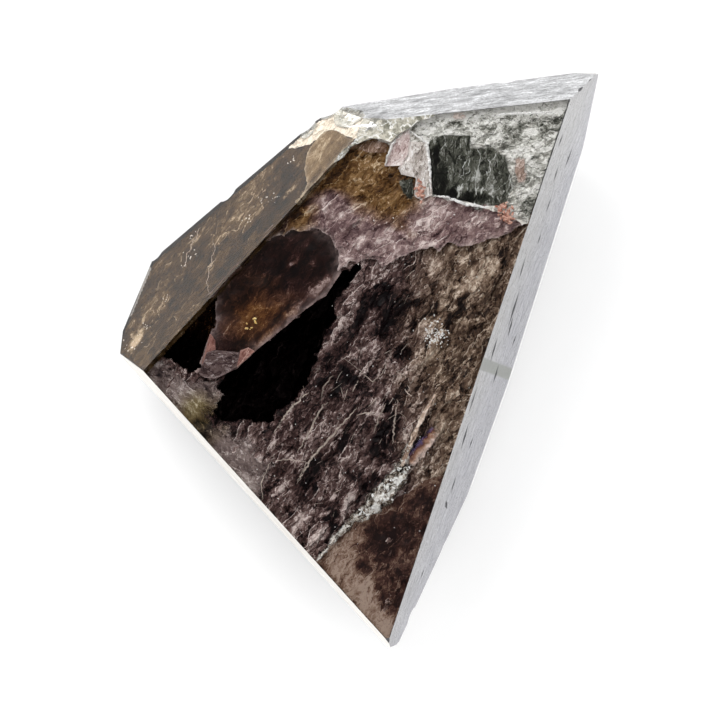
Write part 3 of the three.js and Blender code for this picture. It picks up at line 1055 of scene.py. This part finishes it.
def upper_growth():
    """Amber and amethyst growth that pass into each other above the flaky growth."""
    amethyst = [(46, 30, 32), (95, 73, 74), (145, 122, 119), (228, 213, 208)]
    amber = [(32, 17, 7), (87, 60, 32), (136, 105, 68), (222, 200, 166)]
    material = growth_material("amethyst and amber", amethyst, amber, rim=(200, 184, 178), size=1.3,
                               stretch=1.8, rim_share=0.7, contrast=1.15, chips=0.25, wisps=0.25,
                               crease=0.25, bearing=42)
    surface = flakes(42, 1.8, 1.3, 0.25, 24)
    growth_sheet("upper_growth", UPPER, 1.3, surface, material, seed=23, ragged=0.35, ragged_size=1.0,
                 light=0.4, patches=UPPER_PATCHES, tone=amber_share, under=[CAP], rim_width=0.2)


def cap_light(places):
    """The cap is palest at its left end and along the top edge."""
    left = np.clip((9 - places[:, 0]) / 7, 0, 1)
    high = np.clip((places[:, 1] - 27 - places[:, 0] * 0.06) / 3, 0, 1)
    return 0.68 + 0.45 * np.maximum(left, high)


def cloudy_cap():
    """The grainy pale growth at the upper right, cream at its left end, with a bright ragged border."""
    grey = [(44, 46, 41), (120, 120, 112), (182, 182, 174), (254, 253, 248)]
    cream = [(120, 104, 82), (178, 163, 140), (222, 212, 194), (255, 250, 242)]
    material = growth_material("cloudy cap", grey, cream, rim=(248, 242, 232), size=0.9, stretch=1.8,
                               contrast=1.5, chips=0.35, chip_size=0.35, wisps=0.6, wisp_size=0.9,
                               crease=0.3, bearing=12, bands=0.3, plate_size=0.7)
    growth_sheet("cloudy_cap", CAP, 1.0, flakes(12, 1.8, 0.9, 0.25, 28), material, seed=27,
                 ragged_size=0.9, light=cap_light, patches=CAP_PATCHES, tone=cream_share,
                 under=[DARK_BLOCK, SECOND_BLOCK])


# Growth behind the left facet

OLIVE = [(-2.6, 28.2), (-0.6, 26.8), (0.5, 27.5), (-9.5, 16.5), (-6.6, 20), (-5.9, 21.4),
         (-6.4, 23.2), (-6, 25.4), (-5, 26.8), (-3.6, 28.2)]
CREAM_CRUST = [(-9, 25.9), (-6, 26.4), (-4.8, 27), (-3.4, 28.2), (-2.2, 28), (-0.9, 26.9),
               (0.2, 26.6), (2.5, 28), (1.5, 30), (-2, 33), (-10, 31)]
OLIVE_PATCHES = [
    (0.2, 48, [(-1.6, 25.4, 4, 1.6), (-5.2, 21.4, 3, 1)]),
    (0.75, 60, [(-4.6, 25.6, 3, 1)]),
]
LEFT_PATCHES = [
    (0.15, 48, [(-18.5, 13.4, 2.4, 2.2), (-22, 8, 6, 2), (-11, 17.2, 8, 1.4), (-8.6, 23, 2.4, 2),
                (-15.5, 11.6, 5, 1.2)]),
    (0.6, 48, [(-12.5, 21.4, 6, 1.6), (-13.6, 17.4, 5, 2.2), (-24.5, 6.6, 4, 1.6),
               (-7.4, 21, 2.6, 1), (-17, 15.2, 4, 1.2)]),
    (0.85, 60, [(-19.4, 15, 3, 0.4), (-8, 20.4, 2, 0.4), (-26, 5, 2, 0.4), (-27.2, 2.2, 2.4, 1)]),
]


def left_growth():
    """The veil behind the left facet, the olive growth at its upper end and the cream crust above."""
    palette = [(6, 2, 0), (50, 34, 12), (80, 62, 36), (190, 174, 150)]
    veil = growth_material("olive veil", palette, stretch=1.6, contrast=1.1, bands=0.2, chips=0.25,
                           wisps=0.15, wisp_size=0.8, crease=0.1, bearing=48)
    outline = [(3, 31), (-6, 34), (-33, 14), (-33, -5), (-26, -5)]
    growth_sheet("olive_veil", outline, 1.0, flakes(48, 2.8, 1.3, 0.25, 30), veil, facet=LEFT, seed=29,
                 light=0.37, patches=LEFT_PATCHES)
    palette = [(48, 34, 16), (84, 67, 44), (118, 100, 74), (180, 168, 146)]
    olive = growth_material("olive growth", palette, rim=(186, 176, 156), stretch=1.4, contrast=0.9,
                            chips=0.1, wisps=0.3, crease=0)
    growth_sheet("olive_growth", OLIVE, 0.7, gentle(2, 0.15, 22), olive, facet=LEFT, seed=21, ragged=0.2,
                 ragged_size=0.9, seam_gap=0.5, rise=0.3, thickness=0.2, rim_width=0.15,
                 patches=OLIVE_PATCHES)
    palette = [(110, 102, 88), (182, 176, 164), (230, 227, 218), (255, 255, 252)]
    cream = growth_material("cream crust", palette, rim=(250, 248, 240), size=1.1, stretch=1.6, bearing=25,
                            contrast=2.2, wisps=0.5)
    growth_sheet("cream_crust", CREAM_CRUST, 0.5, gentle(1.5, 0.1, 25), cream, facet=LEFT, seed=25,
                 ragged=0.25, ragged_size=0.8, seam_gap=0.4, rise=0.3, thickness=0.2, light=0.65)


def small_crystals():
    """Crystals with straight edges near the cap and at the phantom's tip, and two stains in the cap."""
    rose = growth_material("rose lump", [(54, 36, 26), (96, 72, 56), (138, 114, 98), (215, 195, 186)],
                           size=0.8, contrast=1.4, wisp_size=0.8, soft=True)
    pink = growth_material("pink crystal",
                           [(120, 96, 94), (186, 164, 160), (224, 208, 204), (255, 250, 248)],
                           rim=(250, 240, 236), size=0.7, contrast=1.9, wisp_size=0.7, bearing=70)
    pale = growth_material("pale column", [(90, 82, 76), (168, 158, 150), (220, 213, 207), (255, 252, 250)],
                           rim=(240, 232, 226), size=0.7, contrast=2.2, wisp_size=0.7, bearing=80)
    block = growth_material("dark block", [(5, 5, 4), (33, 34, 29), (90, 91, 82), (208, 210, 206)],
                            size=0.8, stretch=2.4, contrast=1.3, bands=0.3, plate_size=0.8, chips=0.25,
                            wisp_size=0.9, wisps=0.2, bearing=80, soft=True)
    facet = growth_material("tip facet", [(12, 7, 8), (54, 40, 40), (98, 82, 80), (180, 168, 166)],
                            rim=(124, 106, 104), size=0.9, stretch=3, contrast=1.4, chips=0.2, bearing=5)
    orange = growth_material("orange facet", [(44, 22, 18), (100, 60, 54), (150, 108, 98), (225, 195, 180)],
                             rim=(170, 132, 122), size=0.9, contrast=1.2, chips=0.2, wisps=0.3)
    stain = growth_material("stain", [(84, 66, 56), (128, 106, 94), (186, 164, 152), (234, 218, 210)],
                            size=0.8, contrast=1.4, wisp_size=0.8, soft=True)
    crystals = [
        ("dark_block", DARK_BLOCK, 0.85, (250, 0.0), block,
         dict(light=0.52, patches=BLOCK_PATCHES_AND_HIGHLIGHTS, ragged=0.15)),
        ("second_block", SECOND_BLOCK, 0.95, (250, 0.05), block,
         dict(light=0.57, patches=BLOCK_PATCHES_AND_HIGHLIGHTS, ragged=0.4, fade=1.0)),
        ("rose_lump", ROSE_LUMP, 0.8, (90, 0.1), rose, dict(fade=0.5)),
        ("pale_column", PALE_COLUMN, 0.75, (0, 0.1), pale, dict(light=0.5)),
        ("pink_crystal", PINK_CRYSTAL, 0.6, (200, 0.12), pink, {}),
        ("dark_nook", DARK_NOOK, 0.8, (0, 0.1), block, dict(light=0.25, fade=0.5)),
        ("left_tip_facet", LEFT_TIP_FACET, 1.2, (160, 0.2), orange, {}),
        ("grey_tip_facet", GREY_TIP_FACET, 1.1, (230, 0.1), facet, {}),
        ("right_tip_facet", RIGHT_TIP_FACET, 0.9, (330, 0.2), orange, {}),
        ("brown_stain", BROWN_STAIN, 0.7, (0, 0.05), stain, dict(light=0.45, fade=0.9, ragged=0.4)),
        ("pink_stain", PINK_STAIN, 0.7, (0, 0.05), stain, dict(light=0.85, fade=0.9, ragged=0.4)),
    ]
    for seed, (name, outline, depth, fall, material, looks) in enumerate(crystals, 40):
        looks = dict(ragged=0.06, rim_width=0.12) | looks
        growth_sheet(name, outline, depth, crystal_face(*fall, seed), material, seed=seed,
                     grid=CRYSTAL_GRID, rise=0.35, thickness=1.2, **looks)


# The bright fracture

FRACTURE_PATH = [(-5.4, -24.8), (-2.5, -21.3), (-0.6, -19.5), (1.4, -18), (3.1, -16.3), (4.7, -14.2),
                 (5.6, -12.2), (6.3, -10)]
FRACTURE_WIDTHS = [0.6, 1.0, 1.6, 2.4, 2.9, 2.6, 1.7, 0.8]
FRACTURE_PATCHES_AND_GLINTS = [
    (0.6, 50, [(-3, -21.8, 5, 1.6)]),
    # painted glints: the brightest white patches on the fracture
    (0.8, 45, [(3, -16.6, 2, 1), (1, -18.4, 1.2, 0.5)]),
    (1.05, 45, [(4.4, -14.6, 1.8, 1)]),
    (0.1, 60, [(2.4, -17.8, 1.8, 0.5), (4.6, -16, 1.4, 0.5), (5.6, -13.6, 1.6, 0.4),
               (1.6, -16.9, 1.2, 0.3), (3.6, -15.6, 0.9, 0.4)]),
]
STREAK_PATH = [(5.3, -13), (6.1, -10.7), (6.9, -8.6), (8, -6.4), (9.4, -3.9)]
STREAK_WIDTHS = [0.8, 0.8, 0.75, 0.7, 0.4]
RAINBOW = [(5.6, -12.3), (6.3, -10.7), (7.5, -9.2), (9.3, -7.7), (9.8, -9.2), (9, -10.6),
           (7.9, -11.9), (6.7, -12.9)]


def band_outline(path, widths):
    """The outline of a band along a path: each side lies half the width away."""
    points = np.array(path, float)
    heading = np.gradient(points, axis=0)
    heading /= np.linalg.norm(heading, axis=1)[:, None]
    side = np.column_stack([-heading[:, 1], heading[:, 0]]) * np.array(widths)[:, None] / 2
    return np.vstack([points + side, (points - side)[::-1]])


def bright_fracture():
    """A crumpled, bright crack that stands across the stone, with a rainbow sheen beside it."""
    palette = [(30, 23, 18), (108, 95, 82), (192, 181, 168), (255, 252, 247)]
    material = growth_material("bright fracture", palette, size=1.1, stretch=1.5, contrast=2.6,
                               plate_size=0.8, chips=0.8, wisps=0.5, wisp_size=0.8, crease=0.3,
                               bearing=50, gloss=0.5, roughness=0.25, soft=True)
    veil = dict(slot="veils", grid=FINE_GRID, rise=0.25)
    growth_sheet("bright_fracture", band_outline(FRACTURE_PATH, FRACTURE_WIDTHS), 0.8,
                 flakes(50, 1.3, 0.5, 0.8, 50), material, seed=51, ragged=0.3, ragged_size=0.7,
                 light=0.45, patches=FRACTURE_PATCHES_AND_GLINTS, fade=0.8, **veil)
    streak = growth_material("pale streak",
                             [(84, 64, 54), (138, 116, 100), (186, 162, 144), (240, 226, 212)],
                             size=0.8, stretch=3, contrast=1.2, soft=True)
    growth_sheet("pale_streak", band_outline(STREAK_PATH, STREAK_WIDTHS), 0.7, gentle(1, 0.1, 54), streak,
                 seed=55, ragged=0.12, ragged_size=0.8, light=0.75, fade=0.3, **veil)
    growth_sheet("rainbow_sheen", RAINBOW, 1.0, gentle(1, 0.1, 52), rainbow_material(), seed=53,
                 ragged=0.15, ragged_size=0.7, fade=0.7, **veil)


def rainbow_material():
    """The colours of a thin gap: violet on its upper left side, orange and pink on its lower right."""
    p = Pattern("rainbow sheen")
    angle = math.radians(50)
    across = p.vector("DOT_PRODUCT", p.place, (math.sin(angle), -math.cos(angle), 0))
    place = p.math("ADD", across, p.swing(p.noise(p.place, 0.7, detail=6), 1.5))
    colour = p.mix(inner(40, 26, 34), inner(66, 56, 92), p.spread(place, 11.7, 12.1))
    colour = p.mix(colour, inner(80, 46, 38), p.spread(place, 12.15, 12.35))
    colour = p.mix(colour, inner(128, 92, 70), p.spread(place, 12.45, 12.65))
    colour = p.mix(colour, inner(214, 190, 178), p.spread(place, 12.7, 13.2))
    cover = p.total(p.attribute("cover"), p.swing(p.noise(p.place, 0.6, detail=5), 2.4))
    return p.finish(colour, Roughness=0.3, Alpha=p.spread(cover, 0.2, 0.9))


# Strands, cracks and specks

def ribbon(path, width, depth, facet=WINDOW):
    """A fine ribbon under a facet along a path: four points round each place, thinner at both ends."""
    path = np.array(path, float)
    heading = np.gradient(path, axis=0)
    heading /= np.linalg.norm(heading, axis=1)[:, None]
    rings = []
    for k, (place, ahead) in enumerate(zip(path, heading)):
        taper = math.sin(math.pi * (k + 0.5) / len(path)) ** 0.6
        side = np.array([-ahead[1], ahead[0]]) * width * taper / 2
        height = float(height_under(facet, place, depth + 0.2 * math.sin(k * 0.9)))
        thick = width * 0.35 * taper
        rings.append([(*(place + side), height), (*place, height + thick),
                      (*(place - side), height), (*place, height - thick)])
    return rings


def wandering_path(start, heading, steps, step, draw):
    """A path of short steps that bends a little and kinks now and then."""
    path = [np.array(start, float)]
    for _ in range(steps):
        heading += draw.normal(0, 0.07) + (draw.normal(0, 0.6) if draw.random() < 0.1 else 0)
        path.append(path[-1] + step * np.array([math.cos(heading), math.sin(heading)]))
    return path


def jagged_path(corners, step, draw):
    """A path through corners in short steps, each a little off the line."""
    corners = np.array(corners, float)
    lengths = np.linalg.norm(np.diff(corners, axis=0), axis=1)
    along = np.concatenate([[0], np.cumsum(lengths)])
    at = np.arange(0, along[-1], step)
    path = np.column_stack([np.interp(at, along, corners[:, k]) for k in range(2)])
    return path + draw.normal(0, step * 0.22, path.shape)


def joined_ribbons(name, ribbons, brightness, material):
    """One piece made of ribbons, each with its own brightness."""
    vertices, faces, tones = [], [], []
    for rings, tone in zip(ribbons, brightness):
        first = len(vertices)
        for ring in rings:
            vertices += ring
        for k in range(len(rings) - 1):
            for j in range(4):
                a, b = first + 4 * k + j, first + 4 * k + (j + 1) % 4
                faces.append((a, b, b + 4, a + 4))
        last = first + 4 * (len(rings) - 1)
        faces += [(first + 3, first + 2, first + 1, first), (last, last + 1, last + 2, last + 3)]
        tones += [tone] * 4 * len(rings)
    mesh_piece(name, vertices, faces, material, "flecks", tone=tones)


def crack_ribbons(cracks, depth, facet, draw):
    return [ribbon(jagged_path(corners, CRACK_STEP, draw), width, depth, facet) for corners, width in cracks]


def strand_material(name, dark, pale):
    p = Pattern(name)
    shade = p.total(p.attribute("tone"), p.swing(p.noise(p.place, 0.4, detail=4), 1.4))
    colour = p.mix(inner(*dark), inner(*pale), shade)
    gaps = p.noise(p.place, 0.5, detail=3, low=0.36, high=0.44)
    return p.finish(colour, Roughness=0.35, Specular_IOR_Level=0.2, Alpha=gaps)


STRAND_AREA = [(-14, -10), (-2, 6), (2, 12), (13, 12), (12, 2), (6, -11), (2, -17), (-5, -24)]
WINDOW_CRACKS = [
    ([(-4.5, -4.8), (-4.3, -3.2), (-3.4, -2.1), (-3.0, -1.7)], 0.16),
    ([(-0.2, -6.6), (0.9, -6.3), (1.9, -6.5), (2.3, -6.0)], 0.14),
    ([(4.2, -10.1), (4.4, -7.2), (4.8, -4.6)], 0.2),
    ([(-7.5, -15.0), (-5.9, -12.1), (-4.5, -10.6), (-2.7, -8.5), (-0.1, -5.6)], 0.24),
    ([(-10.2, -8.7), (-8.7, -6.3), (-5.9, -3.6)], 0.22),
    ([(-7.4, -11.1), (-5.9, -8.5), (-4.5, -5.6), (-3.6, -4.9)], 0.22),
    ([(1.9, -8.8), (2.5, -6.8), (3.5, -4.9)], 0.22),
    ([(-0.7, -3.7), (-0.4, -2.9), (0.1, -2.4)], 0.12),
    ([(4.5, -1.3), (5.3, -1.6), (6.0, -1.2)], 0.14),
    ([(5.6, -3.4), (6.0, -3.9), (6.5, -4.3)], 0.12),
    ([(-4.7, -11.0), (-6.4, -12.6), (-7.6, -14.9)], 0.14),
    ([(-10.7, -12.2), (-11.9, -14.9), (-11.7, -17.0)], 0.12),
    ([(-10.2, -12.2), (-8.6, -12.0), (-7.1, -12.2), (-6.2, -12.5)], 0.12),
    ([(-1.9, 0.5), (-0.2, -0.8), (1.8, -2.5), (3.0, -1.3), (4.0, 1.2)], 0.1),
]
# Painted highlights: white lines along the edges of the small crystals and blocks in the cap, and near its
# top.
CAP_HIGHLIGHT_LINES = [
    ([(-1.6, 28.4), (1.5, 28.5), (4.0, 28.1), (6.3, 28.0)], 0.36),
    ([(16.0, 29.6), (20.0, 29.9), (24.0, 30.0)], 0.3),
    ([(6.3, 27.8), (7.4, 27.0), (8.3, 26.5), (8.6, 24.0), (8.8, 20.6)], 0.36),
    ([(9.2, 20.1), (11.0, 19.7), (13.0, 19.0), (16.0, 18.5)], 0.36),
    ([(3.2, 23.6), (3.5, 24.6), (4.2, 26.4), (5.4, 27.6)], 0.3),
]
LEFT_CRACKS = [
    ([(-19.4, 16.4), (-20.2, 14.8), (-20.9, 13.5), (-21.4, 11.6)], 0.25),
    ([(-17.8, 14.8), (-17.5, 13.9), (-17.8, 12.1), (-18.4, 9.9), (-18.1, 7.9)], 0.16),
]


def strands_and_cracks():
    """Fine pale strands in the flaky growth, and the longer cracks that the eye picks out."""
    draw = np.random.default_rng(7)
    material = strand_material("pale strands", (78, 66, 60), (212, 196, 182))
    ribbons = []
    while len(ribbons) < 45:
        start = draw.uniform((-18, -25), (20, 14))
        in_area = outline_distance(start[None], STRAND_AREA)[0] >= 0.5
        if not in_area or outline_distance(start[None], VOID)[0] > -0.3:
            continue
        heading = math.radians(STREAK_BEARING) + draw.normal(0, 0.4)
        path = wandering_path(start, heading, draw.integers(4, 12), 0.16, draw)
        ribbons.append(ribbon(path, draw.uniform(0.04, 0.09), draw.uniform(0.8, 1.4)))
    joined_ribbons("pale_strands", ribbons, draw.uniform(0, 1, len(ribbons)), material)
    ribbons = crack_ribbons(WINDOW_CRACKS, 0.4, WINDOW, draw) + crack_ribbons(LEFT_CRACKS, 0.6, LEFT, draw)
    joined_ribbons("pale_cracks", ribbons, draw.uniform(0.3, 0.8, len(ribbons)), material)
    # painted highlights along the crystals' edges in the cap
    ribbons = crack_ribbons(CAP_HIGHLIGHT_LINES, 0.4, WINDOW, draw)
    white = strand_material("painted white highlights", (170, 164, 156), (255, 255, 252))
    joined_ribbons("white_highlight_lines", ribbons, draw.uniform(0.7, 1, len(ribbons)), white)


def shard_mesh(centres, sizes, draw):
    """Small flat shards with five to seven corners, each turned its own way."""
    vertices, faces = [], []
    for centre, size in zip(centres, sizes):
        first = len(vertices)
        sides = draw.integers(5, 8)
        tilt = draw.normal(0, 0.5, 2)
        turn = draw.uniform(0, math.pi)
        for k in range(sides):
            angle = 2 * math.pi * (k + draw.uniform(-0.3, 0.3)) / sides
            u, v = size * draw.uniform(0.6, 1) * np.array([math.cos(angle), 0.6 * math.sin(angle)])
            x, y = u * math.cos(turn) - v * math.sin(turn), u * math.sin(turn) + v * math.cos(turn)
            vertices.append(centre + np.array([x, y, x * tilt[0] + y * tilt[1]]))
        vertices += [centre + np.array([0, 0, size * 0.3]), centre - np.array([0, 0, size * 0.3])]
        top, bottom = first + sides, first + sides + 1
        for k in range(sides):
            a, b = first + k, first + (k + 1) % sides
            faces += [(a, b, top), (b, a, bottom)]
    return vertices, faces


def speck_cluster(name, places, count, spread, size, depth, material, seed, facet=WINDOW):
    """Shards scattered round some places, count at each."""
    draw = np.random.default_rng(seed)
    centres = []
    for place in places:
        around = np.array(place) + draw.normal(0, 1, (count, 2)) * spread
        around = around[room_inside(around, height_under(facet, around, depth), facet, 0.4) > 0]
        heights = height_under(facet, around, draw.uniform(depth - 0.2, depth + 0.3, len(around)))
        centres.append(np.column_stack([around, heights]))
    centres = np.vstack(centres)
    vertices, faces = shard_mesh(centres, size * draw.uniform(0.5, 1.3, len(centres)), draw)
    mesh_piece(name, vertices, faces, material, "flecks")


def speck_material(name, first, second, **surface):
    p = Pattern(name)
    share = p.noise(p.place, 0.3, low=0.35, high=0.65)
    return p.finish(p.mix(inner(*first), inner(*second), share), **surface)


def specks():
    """Rust specks, golden specks whose bright gold is painted sparkle, a cluster of white ones, and white
    shards that are painted glints.
    """
    rust = speck_material("rust specks", (150, 82, 62), (226, 180, 160), Roughness=0.4)
    speck_cluster("rust_specks", [(7.5, 20.6)], 34, (0.35, 0.5), 0.32, 0.55, rust, 61)
    speck_cluster("corner_rust_specks", [(17.4, 18.4), (18.0, 17.2)], 30, (0.4, 0.5), 0.32, 0.6, rust, 62)
    # golden flecks, their sparkle painted in as bright gold
    gold = speck_material("gold specks and painted sparkle", (225, 170, 60), (255, 230, 160), Roughness=0.25)
    speck_cluster("gold_specks_and_sparkle", [(-13.0, 4.6), (-13.6, 4.0)], 5, (0.35, 0.25), 0.22, 0.9, gold, 63)
    white = speck_material("white specks and painted glints", (235, 235, 230), (255, 255, 255), Roughness=0.25)
    # painted glints on the fracture: white shards
    glints = [(1.0, -18.4), (2.6, -16.9), (3.6, -15.6), (4.5, -14.4), (5.4, -13.2)]
    speck_cluster("fracture_glints", glints, 9, (0.6, 0.4), 0.3, 0.5, white, 64)
    speck_cluster("white_cluster", [(9.0, 3.6), (9.6, 2.8)], 50, (0.6, 0.7), 0.17, 0.6, white, 65)
    # painted glints in the growth behind the left facet
    left_glints = [(-8.0, 24.7), (-11.4, 19.6), (-10.2, 19.9), (-20.6, 13.0), (-21.3, 11.8), (-27.4, 2.0),
                   (-27.0, 2.8), (-26.2, 4.0), (-28.2, 1.6), (-19.9, 15.4), (-13.6, 17.4), (-23.6, 7.6)]
    speck_cluster("left_glints", left_glints, 7, (0.4, 0.3), 0.16, 0.5, white, 66, LEFT)
    # painted glints: single white shards scattered over the window
    scattered = np.random.default_rng(67).uniform((-16, -22), (18, 18), (160, 2))
    outside = np.maximum(outline_distance(scattered, VOID), outline_distance(scattered, PHANTOM)) < 0
    speck_cluster("scattered_glints", scattered[outside], 1, (0.4, 0.4), 0.1, 0.6, white, 68)


# The studio

def pale_floor():
    """A white light table, which glows a little so that the shadows on it stay pale."""
    p = Pattern("pale floor")
    speckle = p.noise(p.place, 4, detail=2)
    colour = p.mix((0.49, 0.49, 0.49, 1), (0.51, 0.51, 0.51, 1), speckle)
    material = p.finish(colour, Roughness=0.9, Emission_Color=(1, 1, 1, 1), Emission_Strength=FLOOR_GLOW)
    mesh = bpy.data.meshes.new("floor")
    signs = [(-1, -1), (1, -1), (1, 1), (-1, 1)]
    corners = [(x * FLOOR_HALF_SIDE, y * FLOOR_HALF_SIDE, FLOOR_DROP) for x, y in signs]
    mesh.from_pydata(corners, [], [(0, 1, 2, 3)])
    mesh.materials.append(material)
    floor = bpy.data.objects.new("floor", mesh)
    bpy.context.scene.collection.objects.link(floor)
    floor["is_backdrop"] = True


def area_lamp(name, place, size, power):
    """A round soft lamp that points at the stone; place and size in metres, power in watts."""
    data = bpy.data.lights.new(name, "AREA")
    data.shape = "DISK"
    data.size = size
    data.energy = power
    lamp = bpy.data.objects.new(name, data)
    bpy.context.scene.collection.objects.link(lamp)
    lamp.location = place
    lamp.rotation_mode = "QUATERNION"
    lamp.rotation_quaternion = (-Vector(place)).to_track_quat("-Z", "Y")


def white_dome(strength):
    """White surroundings all round, dark in the one patch that the window mirrors."""
    world = bpy.data.worlds.new("studio")
    bpy.context.scene.world = world
    world.use_nodes = True
    nodes, links = world.node_tree.nodes, world.node_tree.links
    nodes.clear()
    direction = nodes.new("ShaderNodeTexCoord")
    toward = nodes.new("ShaderNodeVectorMath")
    toward.operation = "DOT_PRODUCT"
    toward.inputs[1].default_value = DARK_PATCH
    fall = nodes.new("ShaderNodeMapRange")
    fall.inputs["From Min"].default_value = math.cos(math.radians(DARK_PATCH_EDGE))
    fall.inputs["From Max"].default_value = math.cos(math.radians(DARK_PATCH_RADIUS))
    fall.inputs["To Min"].default_value = strength
    fall.inputs["To Max"].default_value = 0
    sky = nodes.new("ShaderNodeBackground")
    out = nodes.new("ShaderNodeOutputWorld")
    links.new(direction.outputs["Generated"], toward.inputs[0])
    links.new(toward.outputs["Value"], fall.inputs["Value"])
    links.new(fall.outputs["Result"], sky.inputs["Strength"])
    links.new(sky.outputs["Background"], out.inputs["Surface"])


def studio():
    pale_floor()
    area_lamp("key", KEY_PLACE, KEY_SIZE, KEY_POWER)
    white_dome(SKY_STRENGTH)
    bpy.context.scene.view_settings.view_transform = "Standard"


def camera():
    data = bpy.data.cameras.new("camera")
    eye = bpy.data.objects.new("camera", data)
    bpy.context.scene.collection.objects.link(eye)
    data.sensor_width = SENSOR_WIDTH
    data.lens = SENSOR_WIDTH * (CAMERA_PLACE[2] - VIEW_LEVEL) / VIEW_WIDTH
    eye.location = Vector(CAMERA_PLACE) * MM
    bpy.context.scene.camera = eye


camera()
studio()
stone_skin()
filling_growth()
dark_floor()
flaky_growth()
cloud_growth()
brown_tip()
phantom_crystal()
upper_growth()
cloudy_cap()
left_growth()
small_crystals()
bright_fracture()
strands_and_cracks()
specks()

boxes = {"cad": cad_box, "visual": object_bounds()}
{name: [list(corner) for corner in box] for name, box in boxes.items()}
